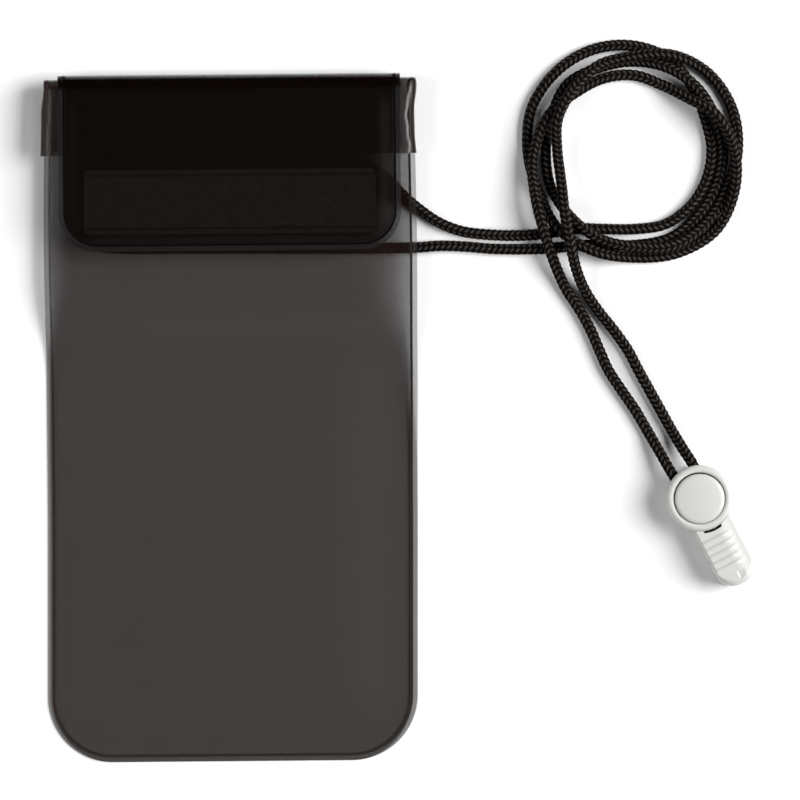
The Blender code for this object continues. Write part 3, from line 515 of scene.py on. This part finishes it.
def smoothstep(t):
    """0 to 1 along an S: level at both ends, three times t squared less twice t cubed."""
    t = np.clip(t, 0.0, 1.0)
    return t * t * (3 - 2 * t)


def bell(s, middle, run):
    """1 at the middle and less beside it: e to the minus square of the distance in runs."""
    return np.exp(-((s - middle) / run) ** 2)


def swelling(t):
    """0 to 1 along a parabola: steepest at the start and level at the end, as taut film is."""
    return 1 - (1 - np.clip(t, 0.0, 1.0)) ** 2


def eased(s, knots):
    """A value that eases from knot to knot, given as (station, value) pairs."""
    value = np.full(np.shape(s), float(knots[0][1]))
    for (s0, v0), (s1, v1) in zip(knots, knots[1:]):
        value += (v1 - v0) * smoothstep((s - s0) / (s1 - s0))
    return value


def stations(*spans):
    """Sorted stations from spans of (from, to, count) and arrays of stations, none of them
    closer than 0.04 mm."""
    values = [np.linspace(*span) if isinstance(span, tuple) else span for span in spans]
    values = np.unique(np.round(np.concatenate(values), 4))
    return values[np.r_[True, np.diff(values) > 0.04]]


def corner_stations(radius):
    """Stations that step evenly round a corner's arc as it runs into a straight side."""
    return radius * (1 - np.cos(np.linspace(0, np.pi / 2, 25)))


def round_fold(s, begin, end):
    """1 round a fold and 0 away from it."""
    return smoothstep((s - begin) / 1.5 + 1) * smoothstep((end - s) / 1.5 + 1)


def film_sheet(name, start, pieces, rows, edges, half_width, outer, inner, from_edge, material,
               lean=lambda s: 0.0 * s, line=lambda x, s: 1.0 + 0.0 * x, fold=None):
    """A ply: columns at set distances from both sides of each row, two depths, one path. In a
    narrower row the inner columns move together by a parabola, so that they never cross. lean
    shifts whole rows sideways. The film reads the line's strength and the fold's place."""
    half = half_width(rows)[:, None]
    share = edges / edges[-1]
    narrow = 1 - np.minimum((half - 0.8) / edges[-1], 1.0)
    places = edges - edges[-1] * narrow * share ** 2
    across = np.concatenate([-half + places, half - places[:, ::-1]], axis=1)
    s = np.broadcast_to(rows[:, None], across.shape)
    grids = []
    for depth in (outer(across, s), inner(across, s)):
        y, z = along_path(start, pieces, s, depth)
        grids.append(np.stack([across + lean(s), y, z], axis=-1) * MM)
    quads = shell_quads(*across.shape)
    ply = add_mesh(name, np.concatenate([g.reshape(-1, 3) for g in grids]), quads, material)
    for key, value in (("from_edge", from_edge(across, s)), ("line", line(across, s)),
                       ("dull", round_fold(s, *fold) if fold else 0.0 * s)):
        ply.data.attributes.new(key, "FLOAT", "POINT").data.foreach_set(
            "value", np.tile(value.ravel(), 2).astype(np.float32))
    return ply


# %% [markdown]
# ### The body of the pouch
#
# Both plies start at the bottom edge, lie flat, ramp up to where the cord passes behind, go once
# round the fold and end at the mouth. Along both sides the weld fuses them into one thickness,
# so the front ply stops there and the rear ply alone runs on as the flange. Inside the weld the
# front ply rises slowly, like a cushion with little air.
#
# Where the cord lifts the pouch, the right edge curls up a little more, and light comes in under
# it onto the table: the bright band beside the upper right edge. At the mouth the zips hold the
# plies apart, and beside them the plies close to the weld in a narrow wavy slope. The film lies
# a hair above the table, so that no two faces share one plane there.

# %% Body
WIDTH, CORNER, FILM = 108.0, 19.0, 0.3
FOLD_RADIUS, LIFT, MOUTH = 2.25, 4.2, 20.0
BOTTOM_Y, FOLD_Y, RAMP_S, RAMP_ANGLE = -100.2, 96.75, 112.0, 15.2
RAMP_RADIUS = LIFT / 2 / (1 - math.cos(math.radians(RAMP_ANGLE)))
RAMP_RUN = 2 * RAMP_RADIUS * math.sin(math.radians(RAMP_ANGLE))
LEVEL = FOLD_Y - BOTTOM_Y - RAMP_S - RAMP_RUN
BODY_PIECES = [(RAMP_S, 0.0), arc(RAMP_RADIUS, RAMP_ANGLE), arc(RAMP_RADIUS, -RAMP_ANGLE),
               (LEVEL, 0.0), arc(FOLD_RADIUS, 180.0), (MOUTH, 0.0)]
FOLD_S = sum(p[0] for p in BODY_PIECES[:4])
FOLD_END_S = FOLD_S + BODY_PIECES[4][0]
BODY_LENGTH = FOLD_END_S + MOUTH
PATCH_HEIGHT, PATCH_Y = 18.7, 63.1
PATCH_S = FOLD_S - FOLD_Y + PATCH_Y
PATCH_NEAR = PATCH_S - PATCH_HEIGHT / 2 - 1.5
PATCH_FAR = PATCH_S + PATCH_HEIGHT / 2 + 1.0
CROWN_KNOTS = [(PATCH_NEAR - 22, 2.4), (PATCH_NEAR, 1.1), (PATCH_FAR, 1.1), (PATCH_FAR + 6, 0.0),
               (FOLD_END_S, 0.0), (FOLD_END_S + 2.5, 2.3)]
SLOW_RUN, LIFTED_RUN, MOUTH_RUN = 24.0, 15.0, 4.0
CURL_KNOTS = [(82, 0.0), (120, 1.6), (150, 1.2), (FOLD_S - 8, 1.0), (FOLD_S + 2, 0.0)]
CURL_RUN = 11.0
LEFT_SINKS = 0.35
TAB_FALL_LEFT, TAB_FALL_RIGHT, TAB_FALL_PLACE = 0.27, 0.42, 1.6
TAB_WAVES = ((0.22, 2.3), (0.18, 0.9))
BEAD_LEFT, BEAD_RIGHT, BEAD_RUN = 0.09, 0.03, 0.7
CLEARANCE, RESTING, WELD_OVERLAP = 0.03, 0.04, 0.1
INSET = BODY_WELD - WELD_LINE / 2 - WELD_OVERLAP


def rounded_half_width(half, radius, from_end):
    """Half the width of a sheet at a distance from an end with round corners."""
    inset = np.maximum(radius - np.maximum(from_end, 0.0), 0.0)
    return half - radius + np.sqrt(radius ** 2 - inset ** 2)


def past_fold(s):
    """How far along the folded mouth a station is, from 0 at the fold to 1 at its end."""
    return np.clip((s - FOLD_END_S) / MOUTH, 0.0, 1.0)


def below_cord(s):
    """What the right edge stands out just below the cord: a bell, half by width, half by lean."""
    return 0.13 * bell(s, 112.0, 24.0)


def spread(s):
    """What the real edge stands out beyond a straight one: over the cord, and at the mouth."""
    over_cord = 0.45 * bell(s, 152.0, 26.0) + below_cord(s)
    return over_cord + 0.35 * smoothstep((s - FOLD_S) / 7) + 0.5 * past_fold(s) ** 4


def lean(s):
    """How far rows lie to the side: the lower end to the left, the mouth first right, then left."""
    t = past_fold(s)
    at_mouth = 0.38 * smoothstep((s - FOLD_S) / 7) - 0.8 * smoothstep(t / 0.4)
    at_end = 0.15 * smoothstep((t - 0.7) / 0.3) - 0.0087 * np.maximum(70.0 - s, 0.0)
    return at_mouth + at_end + below_cord(s)


def body_half_width(s):
    """Half the body's width at a station: round at the bottom corners, plus the spread."""
    return rounded_half_width(WIDTH / 2, CORNER, s) + spread(s)


def body_from_edge(x, s):
    """How far a point is in from the body's outline, round its corners too."""
    to_side = WIDTH / 2 + spread(s) - np.abs(x)
    in_corner = (s < CORNER) & (to_side < CORNER)
    to_arc = CORNER - np.hypot(CORNER - to_side, CORNER - s)
    return np.where(in_corner, to_arc, np.minimum(to_side, s))


def lifted(x, s):
    """1 on the right where the cord lifts the edge and less on the left, 0 below it."""
    side = np.where(x > 0, 1.0, 0.45)
    return side * smoothstep((s - 104) / 30) * smoothstep((FOLD_S + 2 - s) / 10)


def droop(x, s):
    """How far both plies leave their path. Before the fold that is up: the right edge curls by a
    parabola and the left one sinks a little. Past it they fall in a smooth step beside the
    zips, whose place waves along the edge."""
    inside = body_from_edge(x, s)
    curl = np.where(x > 0, eased(s, CURL_KNOTS), -LEFT_SINKS * lifted(x, s))
    curled = curl * np.clip(1 - inside / CURL_RUN, 0.0, 1.0) ** 2
    wavy = inside - TAB_FALL_PLACE + sum(a * np.sin(s / run) for a, run in TAB_WAVES)
    fall = np.where(x < 0, TAB_FALL_LEFT, TAB_FALL_RIGHT) * (1 - smoothstep(wavy))
    return fall * smoothstep((s - FOLD_S - 2) / 5) + curled


def air(x, s):
    """The air between the plies: a narrow bead inside the weld, most on the left, and the crown
    for that station, which opens slowly, or along a lifted edge more quickly."""
    inside = body_from_edge(x, s) - BODY_WELD
    crown = eased(s, CROWN_KNOTS)
    quick = 0.5 * lifted(x, s)
    pocket = crown * ((1 - quick) * smoothstep(inside / SLOW_RUN)
                      + quick * swelling(inside / LIFTED_RUN))
    bead = np.where(x < 0, BEAD_LEFT, BEAD_RIGHT) * smoothstep(inside / BEAD_RUN)
    at_mouth = crown * smoothstep(inside / MOUTH_RUN)
    return CLEARANCE + np.where(s > FOLD_END_S, at_mouth, bead + pocket)


def front_half_width(s):
    """The front ply runs to the edge at the bottom and at the mouth and stops at the weld along
    both sides. Its lower corners are quarters of an ellipse."""
    inset = INSET * (1 - smoothstep((s - FOLD_S) / 6))
    before_corner = np.maximum(CORNER - s, 0.0) / CORNER
    straight = WIDTH / 2 - CORNER
    return straight + (CORNER - inset) * np.sqrt(1 - before_corner ** 2) + spread(s)


def front_depth(x, s):
    """The depth of the front ply's inner face: over the air, and never through the rear ply."""
    drooped = droop(x, s)
    return FILM + np.maximum(air(x, s) + np.minimum(drooped, 0.0), drooped + CLEARANCE)


def body_from_seam(x, s):
    """The distance from the edge, but for the mouth, where the weld runs closer to the edge."""
    return body_from_edge(x, s) + 1.1 * smoothstep((s - FOLD_S) / 6)


def body_line(x, s):
    """How strong the weld's line is: it fades where the edges are lifted, most on the left."""
    fade = smoothstep((s - 100) / 30) * smoothstep((FOLD_END_S - s) / 6)
    return 1 - np.where(x < 0, 0.85, 0.3) * fade


def groove(from_edge, weld):
    """The pressed line of a weld: a cosine dip a little wider than the line."""
    t = np.clip(np.abs(from_edge - weld) / (0.6 * WELD_LINE), 0.0, 1.0)
    return WELD_GROOVE * (0.5 + 0.5 * np.cos(np.pi * t))


def front_top(x, s):
    """The depth of the front ply's outer face, with the pressed line of the weld in it."""
    return FILM + front_depth(x, s) - groove(body_from_seam(x, s), BODY_WELD)


body_spans = [(24, RAMP_S, 60), (RAMP_S, FOLD_S - LEVEL, 44), (FOLD_S - LEVEL, FOLD_S, 60),
              (FOLD_S, FOLD_END_S, 19), (FOLD_END_S, BODY_LENGTH, 24)]
back_rows = stations(corner_stations(CORNER), *body_spans)
front_rows = stations(corner_stations(CORNER),
                      np.array([2.4, 2.9, 3.5, 4.2, 5.0, 6.0, 8.0, 10.0, 12.5]), *body_spans)
body_edges = stations((0, 2.6, 9), (2.6, 7, 14), (7, 27, 20), (27, 53, 12))
back = film_sheet("back_ply", (BOTTOM_Y, RESTING), BODY_PIECES, back_rows, body_edges,
                  body_half_width, droop, lambda x, s: FILM + droop(x, s),
                  body_from_seam, body_film, lean, body_line, (FOLD_S, FOLD_END_S))
front = film_sheet("front_ply", (BOTTOM_Y, RESTING), BODY_PIECES, front_rows,
                   body_edges[body_edges < 51.4], front_half_width, front_depth, front_top,
                   body_from_seam, body_film, lean, body_line, (FOLD_S, FOLD_END_S))
for piece, node, slot in ((back, "back_panel", "back_film"), (front, "front_panel", "front_film")):
    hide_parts(node)
print("ply of film in mm", WIDTH, round(BODY_LENGTH, 1))

# %% [markdown]
# ### The flap
#
# The flap is two more plies, welded behind the pouch, that wrap over the folded mouth and come
# down on the front. Its outer face is what the eye meets first, and its lining carries the hooks.
# Nothing holds it up below the patch, so its free edge hangs and its sides fall to their weld.

# %% Flap
FLAP_WIDTH, FLAP_CORNER, FLAP_REAR, FLAP_FRONT, FLAP_RADIUS = 99.8, 11.4, 13.0, 48.0, 3.45
FLAP_START = (FOLD_Y - FLAP_REAR, LIFT + FOLD_RADIUS - FLAP_RADIUS)
FLAP_PIECES = [(FLAP_REAR, 0.0), arc(FLAP_RADIUS, 180.0), (FLAP_FRONT, 0.0)]
FLAP_FOLD_END = FLAP_REAR + FLAP_PIECES[1][0]
FLAP_LENGTH = sum(p[0] for p in FLAP_PIECES)
LINING_INSET = FLAP_WELD - WELD_LINE / 2 - WELD_OVERLAP
SAG, SAG_BEGIN, SAG_RUN = 0.7, 5.0, 5.5
SIDE_FALL, SIDE_RUN, FRONT_RUN = 0.5, 5.5, 6.0
PLIES_APART, APART_RUN = 0.27, 3.0


def flap_half_width(s, inset=0.0):
    """Half the flap's width, round at its free corners, or that of an outline inset from it."""
    return rounded_half_width(FLAP_WIDTH / 2 - inset, FLAP_CORNER - inset,
                              FLAP_LENGTH - s - inset)


def flap_from_edge(x, s):
    """How far a point is in from the flap's outline, round its two corners too."""
    to_side = FLAP_WIDTH / 2 - np.abs(x)
    to_end = FLAP_LENGTH - s
    in_corner = (to_end < FLAP_CORNER) & (to_side < FLAP_CORNER)
    to_arc = FLAP_CORNER - np.hypot(FLAP_CORNER - to_side, FLAP_CORNER - to_end)
    return np.where(in_corner, to_arc, np.minimum(to_side, to_end))


def sag(s):
    """How far the flap's free edge hangs below the level of the patch."""
    return SAG * smoothstep((s - FLAP_LENGTH + SAG_BEGIN) / SAG_RUN)


def flap_depth(x, s):
    """The depth of the flap's outer face: it hangs at the free edge and falls to its weld."""
    on_front = smoothstep((s - FLAP_FOLD_END) / FRONT_RUN)
    to_weld = 1 - smoothstep((flap_from_edge(x, s) - FLAP_WELD) / SIDE_RUN)
    return sag(s) + SIDE_FALL * on_front * to_weld


def lining_gap(x, s):
    """The depth at which the lining lies: under the outer ply, further in away from the weld."""
    opened = smoothstep((flap_from_edge(x, s) - FLAP_WELD) / APART_RUN)
    return flap_depth(x, s) + CLEARANCE + PLIES_APART * opened


def lining_half_width(s):
    """Half the lining's width: as the flap's behind, and inset to the weld on the front."""
    return flap_half_width(s, LINING_INSET * smoothstep((s - FLAP_FOLD_END) / 12))


flap_spans = [(0, FLAP_REAR, 8), (FLAP_REAR, FLAP_FOLD_END, 25),
              (FLAP_FOLD_END, FLAP_LENGTH - 12, 30), (FLAP_LENGTH - 12, FLAP_LENGTH - 2.4, 14)]
flap_edges = stations((0, 2.4, 9), (2.4, 12, 14), (12, 49, 18))
flap = film_sheet("flap_outer_ply", FLAP_START, FLAP_PIECES,
                  stations(FLAP_LENGTH - corner_stations(FLAP_CORNER), *flap_spans), flap_edges,
                  flap_half_width,
                  lambda x, s: flap_depth(x, s) + groove(flap_from_edge(x, s), FLAP_WELD),
                  lambda x, s: flap_depth(x, s) + FILM, flap_from_edge, flap_film,
                  fold=(FLAP_REAR, FLAP_FOLD_END))
lining_end = FLAP_LENGTH - LINING_INSET - corner_stations(FLAP_CORNER - LINING_INSET)
lining = film_sheet("flap_lining_ply", FLAP_START, FLAP_PIECES,
                    stations(lining_end, *flap_spans), flap_edges[flap_edges < 47.4],
                    lining_half_width, lambda x, s: FILM + lining_gap(x, s),
                    lambda x, s: 2 * FILM + lining_gap(x, s), flap_from_edge, flap_film,
                    fold=(FLAP_REAR, FLAP_FOLD_END))
for piece, node, slot in ((flap, "flap_outer", "flap_film"),
                          (lining, "flap_lining", "flap_lining_film")):
    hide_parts(node)

# %% [markdown]
# ### The strap behind
#
# A narrow band is welded to the back along both its edges and stands off in the middle, which
# makes the tunnel that the cord runs through.

# %% Strap
STRAP_HALF, DROP, BEND, LIP, FLOOR, TUNNEL_Y = 37.0, 3.6, 1.2, 3.0, 2.6, 73.5
ANGLE = math.radians(60)
SLOPE = (DROP - 2 * BEND * (1 - math.cos(ANGLE))) / math.sin(ANGLE)
STRAP_FALL = 2 * BEND * math.sin(ANGLE) + SLOPE * math.cos(ANGLE)
STRAP_START = (TUNNEL_Y - FLOOR / 2 - STRAP_FALL - LIP, DROP)
down, up = arc(BEND, -60), arc(BEND, 60)
STRAP_PIECES = [(LIP, 0.0), down, (SLOPE, 0.0), up, (FLOOR, 0.0), up, (SLOPE, 0.0), down,
                (LIP, 0.0)]
STRAP_LENGTH = sum(p[0] for p in STRAP_PIECES)
strap = film_sheet("strap_band", STRAP_START, STRAP_PIECES, stations((0, STRAP_LENGTH, 100)),
                   stations((0, STRAP_HALF - 0.1, 20)), lambda s: STRAP_HALF + 0.0 * s,
                   lambda x, s: 0.0 * x, lambda x, s: FILM + 0.0 * x,
                   lambda x, s: STRAP_HALF - np.abs(x), body_film)
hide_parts("rear_strap")

# %% [markdown]
# ## Tapes and zips
#
# The zips are extruded soft vinyl in the same smoke tint, and the patch is hook tape over loop
# tape. All of it is seen only through film, so the solids of the frame keep their shape and get
# their finish here. The vinyl's noise is stretched along the zips, as an extrusion is streaked.


# %% Smoked vinyl
def dress(names, material):
    """The frame's own solids keep their mesh and get one finish."""
    for name in names:
        nodes[name].data.materials.clear()
        nodes[name].data.materials.append(material)


vinyl, tree, shader = new_material("smoked_vinyl_extrusion", Roughness=0.35, IOR=1.53)
shader.inputs["Base Color"].default_value = linear("2A2725")
place = add_node(tree, "TexCoord")
streaks = add_node(tree, "Mapping", {}, {"Scale": (4.0, 900.0, 900.0)},
                   {"Vector": place.outputs["Object"]})
drawn = add_node(tree, "TexNoise", {}, {"Scale": 1.0, "Detail": 2.0},
                 {"Vector": streaks.outputs["Vector"]})
add_bump(tree, shader, drawn.outputs["Fac"], 0.5, 0.05 * MM)
dress(("zip_upper_rib", "zip_upper_groove", "zip_lower_rib", "zip_lower_groove"), vinyl)

# %% [markdown]
# ### Hook and loop tape
#
# Such tape is woven nylon with a pile that swallows light. Cells 0.8 mm wide stand for the pile,
# and a darker line runs along each selvedge, which is woven without it.

# %% Nylon tape
PILE = 0.8 * MM
SELVEDGE_PLACE, SELVEDGE_HALF = 7.75 * MM, 0.35 * MM
tape, tree, shader = new_material("black_nylon_hook_tape", Roughness=0.85, Sheen_Weight=0.3)
place = add_node(tree, "TexCoord")
pile = add_node(tree, "TexVoronoi", {}, {"Scale": 1 / PILE},
                {"Vector": place.outputs["Object"]})
shade = add_node(tree, "ValToRGB", {}, {}, {"Fac": pile.outputs["Distance"]})
shade.color_ramp.elements[0].color = linear("6A635E")
shade.color_ramp.elements[1].color = linear("4A4440")
along = add_node(tree, "SeparateXYZ", {}, {}, {"Vector": place.outputs["Object"]})
from_middle = add_node(tree, "Math", {"operation": "SUBTRACT"}, {1: PATCH_Y * MM},
                       {0: along.outputs["Y"]})
either_way = add_node(tree, "Math", {"operation": "ABSOLUTE"}, {},
                      {0: from_middle.outputs["Value"]})
at_selvedge = add_node(tree, "Math", {"operation": "COMPARE"},
                       {1: SELVEDGE_PLACE, 2: SELVEDGE_HALF},
                       {0: either_way.outputs["Value"]})
woven = add_node(tree, "Mix", {"data_type": "RGBA"}, {},
                 {"Factor": at_selvedge.outputs["Value"], "A": shade.outputs["Color"]})
woven.inputs["B"].default_value = linear("2A2623")
tree.links.new(woven.outputs["Result"], shader.inputs["Base Color"])
add_bump(tree, shader, pile.outputs["Distance"], 0.8, 0.2 * MM)
dress(("hook_strip", "loop_strip"), tape)

# %% [markdown]
# ## The clasp
#
# The cord lock, its button and the end cap are injection moulded in white ABS with a satin
# finish. Light goes a little way into such plastic, so it never looks hard, and the mould leaves
# a fine grain, drawn half a millimetre wide.

# %% Satin ABS and spring steel
GRAIN = 0.5 * MM
abs_white, tree, shader = new_material("satin_white_abs", Roughness=0.36, IOR=1.53,
                                       Subsurface_Weight=0.08)
shader.inputs["Subsurface Radius"].default_value = (0.0006, 0.0005, 0.0004)
shader.inputs["Subsurface Scale"].default_value = 1.0
shader.inputs["Base Color"].default_value = linear("CDCECA")
place = add_node(tree, "TexCoord")
grain = add_node(tree, "TexNoise", {}, {"Scale": 1 / GRAIN, "Detail": 2.0},
                 {"Vector": place.outputs["Object"]})
add_bump(tree, shader, grain.outputs["Fac"], 0.3, 0.01 * MM)
dress(("lock_body", "end_cap_tray"), abs_white)

wire, tree, shader = new_material("drawn_spring_steel", Roughness=0.25, Metallic=1.0)
shader.inputs["Base Color"].default_value = linear("C8C8CA")
dress(("lock_spring",), wire)

# %% [markdown]
# ### The button's face and the end cap's cover
#
# Two mouldings need softer forms than the frame's solids have. The button is a shallow dome with
# a round edge, a square grid squeezed onto a disc. It stands a little off centre in its bore, so
# the gap is widest at the top. The cover is a height over the plane: a back that slants off
# gently to the right, five round ribs that fade out on that slant, the black slot at its mouth
# and the soft dent of its snap.

# %% Button
BUTTON_RADIUS, BUTTON_TOP, BUTTON_FOOT = 7.28, 10.65, 8.95
BUTTON_CROWN, BUTTON_EDGE, BUTTON_EDGE_DROP = 0.5, 1.2, 0.65
BUTTON_SHIFT = (0.03, -0.15)
span = np.sin(np.linspace(-np.pi / 2, np.pi / 2, 61))
across, along = np.meshgrid(span, span)
disc_x = BUTTON_RADIUS * across * np.sqrt(1 - along ** 2 / 2)
disc_y = BUTTON_RADIUS * along * np.sqrt(1 - across ** 2 / 2)
reach = np.minimum(np.hypot(disc_x, disc_y) / BUTTON_RADIUS, 1.0)
over_edge = np.maximum(reach - 1 + BUTTON_EDGE / BUTTON_RADIUS, 0.0) * BUTTON_RADIUS / BUTTON_EDGE
rounded_off = BUTTON_EDGE_DROP * (1 - np.sqrt(1 - over_edge ** 2))
dome = BUTTON_TOP - BUTTON_CROWN * reach ** 2 - rounded_off
place_x = CLASP_PLACE[0] + BUTTON_SHIFT[0] + disc_x
place_y = CLASP_PLACE[1] + BUTTON_SHIFT[1] + disc_y
faces = [np.stack([place_x, place_y, top], axis=-1).reshape(-1, 3)
         for top in (dome, np.full_like(dome, BUTTON_FOOT))]
button = add_mesh("lock_button_cap", np.concatenate(faces) * MM, shell_quads(*dome.shape),
                  abs_white, body="button", sharp=50)
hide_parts("lock_button")

# %% End cap
RING_RADIUS, CAP_END, CAP_END_RADIUS, CAP_HALF = 9.64, 27.8, 5.6, 6.15
CAP_SEAM, CAP_SIDE, CAP_TOP, CAP_SLANT, SLANT_BEGINS = 5.6, 1.0, 9.4, 0.85, 0.5
EDGE_ROUNDING, END_ROUNDING, END_RUN = 0.9, 0.9, 3.0
RIB_FIRST, RIB_PITCH, RIB_COUNT, RIB_HEIGHT = 12.7, 2.2, 5, 0.46
RIB_ENDS, RIB_FADES = (-6.1, 4.1), (0.8, 3.6)
SLOT_MIDDLE, SLOT_HALF, SLOT_WIDE, SLOT_FLOOR, SLOT_BLUR = -0.7, 2.8, 0.75, 5.9, 0.12
SNAP_PLACE, SNAP_HALF, SNAP_DEPTH, SNAP_BLUR, SNAP_TILT = (25.0, 1.0), 1.25, 0.25, 0.5, 0.9


def cover_top(u, v, from_ring):
    """The height of the cover: its back, a quarter ellipse down to the side wall, a cosine for
    each rib, and the dent and the slot as products of smooth steps."""
    past = np.maximum(u - CAP_END + CAP_END_RADIUS, 0.0)
    to_side = np.maximum(np.abs(v) - CAP_HALF + CAP_END_RADIUS, 0.0)
    inside = CAP_END_RADIUS - np.hypot(past, to_side)
    wide = EDGE_ROUNDING + END_ROUNDING * smoothstep(past / END_RUN)
    rounding = np.clip(inside / wide, 0.0, 1.0)
    back = CAP_TOP - CAP_SLANT * smoothstep((v - SLANT_BEGINS) / (CAP_HALF - SLANT_BEGINS))
    foot = CAP_SEAM + CAP_SIDE
    top = foot + (back - foot) * np.sqrt(1 - (1 - rounding) ** 2)
    turns = (u - RIB_FIRST) / RIB_PITCH
    ribbed = (turns > -0.5) & (turns < RIB_COUNT - 0.5)
    crest = np.where(ribbed, 0.5 + 0.5 * np.cos(2 * np.pi * turns), 0.0)
    left_fade = smoothstep((v - RIB_ENDS[0]) / RIB_FADES[0])
    top = top + RIB_HEIGHT * crest * left_fade * smoothstep((RIB_ENDS[1] - v) / RIB_FADES[1])
    snap_u = smoothstep((SNAP_HALF - np.abs(u - SNAP_PLACE[0])) / SNAP_BLUR)
    snap_v = smoothstep((SNAP_HALF - np.abs(v - SNAP_PLACE[1])) / SNAP_BLUR)
    lower_left = 1 - SNAP_TILT * (v - SNAP_PLACE[1]) / SNAP_HALF
    top = top - SNAP_DEPTH * snap_u * snap_v * lower_left
    beside_ring = smoothstep((SLOT_WIDE - from_ring) / SLOT_BLUR)
    in_slot = beside_ring * smoothstep((SLOT_HALF - np.abs(v - SLOT_MIDDLE)) / SLOT_BLUR)
    return top + (SLOT_FLOOR - top) * in_slot


both_ways = np.array([-1, 1])
v = CAP_HALF * np.sin(np.linspace(-np.pi / 2, np.pi / 2, 111))
v = np.unique(np.concatenate([v, SLOT_MIDDLE + SLOT_HALF * both_ways,
                              SLOT_MIDDLE + (SLOT_HALF - SLOT_BLUR) * both_ways]))
share = np.concatenate([np.linspace(0, 0.055, 13), np.linspace(0.06, 0.8, 90),
                        1 - 0.2 * np.cos(np.linspace(0, np.pi / 2, 30))[1:]])
mouth = np.sqrt(RING_RADIUS ** 2 - v ** 2)
round_end = np.maximum(np.abs(v) - CAP_HALF + CAP_END_RADIUS, 0.0)
far = CAP_END - CAP_END_RADIUS + np.sqrt(CAP_END_RADIUS ** 2 - round_end ** 2)
u = mouth + (far - mouth) * share[:, None]
v_grid = np.broadcast_to(v, u.shape)
faces = [from_clasp(u, v_grid, top).reshape(-1, 3)
         for top in (cover_top(u, v_grid, u - mouth), np.full_like(u, CAP_SEAM))]
cover = add_mesh("end_cap_shell", np.concatenate(faces) * MM, shell_quads(*u.shape), abs_white,
                 sharp=50)
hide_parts("end_cap_cover")

# %% [markdown]
# ### What hangs on the cord
#
# The lock and the end cap hang on the cord.

# %% [markdown]
# ## Table and light
#
# Soft boxes stand round the white table at a slant, the strongest on the right, under a dark
# ceiling: flat film mirrors nothing and stays deep, while every bead and fold that leans towards
# a lamp catches a highlight. A lamp is two angles in degrees, two sizes in metres, and watts.

# %% Table
TABLE_HALF = 3.0
paper, tree, shader = new_material("white_table_paper", Roughness=0.9, Specular_IOR_Level=0.0)
shader.inputs["Base Color"].default_value = linear("FFFFFF")
table_points = [(x * TABLE_HALF, y * TABLE_HALF, 0.0)
                for x, y in ((-1, -1), (1, -1), (1, 1), (-1, 1))]
table_mesh = bpy.data.meshes.new("table")
table_mesh.from_pydata(table_points, [], [(0, 1, 2, 3)])
table_mesh.materials.append(paper)
table = bpy.data.objects.new("table", table_mesh)
bpy.context.scene.collection.objects.link(table)

# %% Lamps and world
SOFT_BOXES = {"right": (8.0, 39.0, 1.63, 1.88, 105.0), "left": (185.0, 42.0, 1.3, 1.3, 25.0),
              "top": (95.0, 50.0, 1.3, 1.3, 1.2), "near": (-85.0, 50.0, 1.3, 1.3, 1.6)}
LAMP_DISTANCE = 2.6
for name, (azimuth, elevation, across, tall, watts) in SOFT_BOXES.items():
    lamp_data = bpy.data.lights.new(f"{name}_soft_box", "AREA")
    lamp_data.shape = "RECTANGLE"
    lamp_data.size = across
    lamp_data.size_y = tall
    lamp_data.energy = watts
    lamp = bpy.data.objects.new(f"{name}_soft_box", lamp_data)
    turn, rise = math.radians(azimuth), math.radians(elevation)
    lamp.location = (VIEW_CENTRE[0] + LAMP_DISTANCE * math.cos(rise) * math.cos(turn),
                     LAMP_DISTANCE * math.cos(rise) * math.sin(turn),
                     LAMP_DISTANCE * math.sin(rise))
    lamp.rotation_euler = (math.pi / 2 - rise, 0.0, turn + math.pi / 2)
    bpy.context.scene.collection.objects.link(lamp)

world = bpy.data.worlds.new("dim_studio")
world.use_nodes = True
background = world.node_tree.nodes["Background"]
background.inputs["Color"].default_value = linear("FFFFFF")
background.inputs["Strength"].default_value = 0.02
bpy.context.scene.world = world
bpy.context.scene.view_settings.view_transform = "Standard"
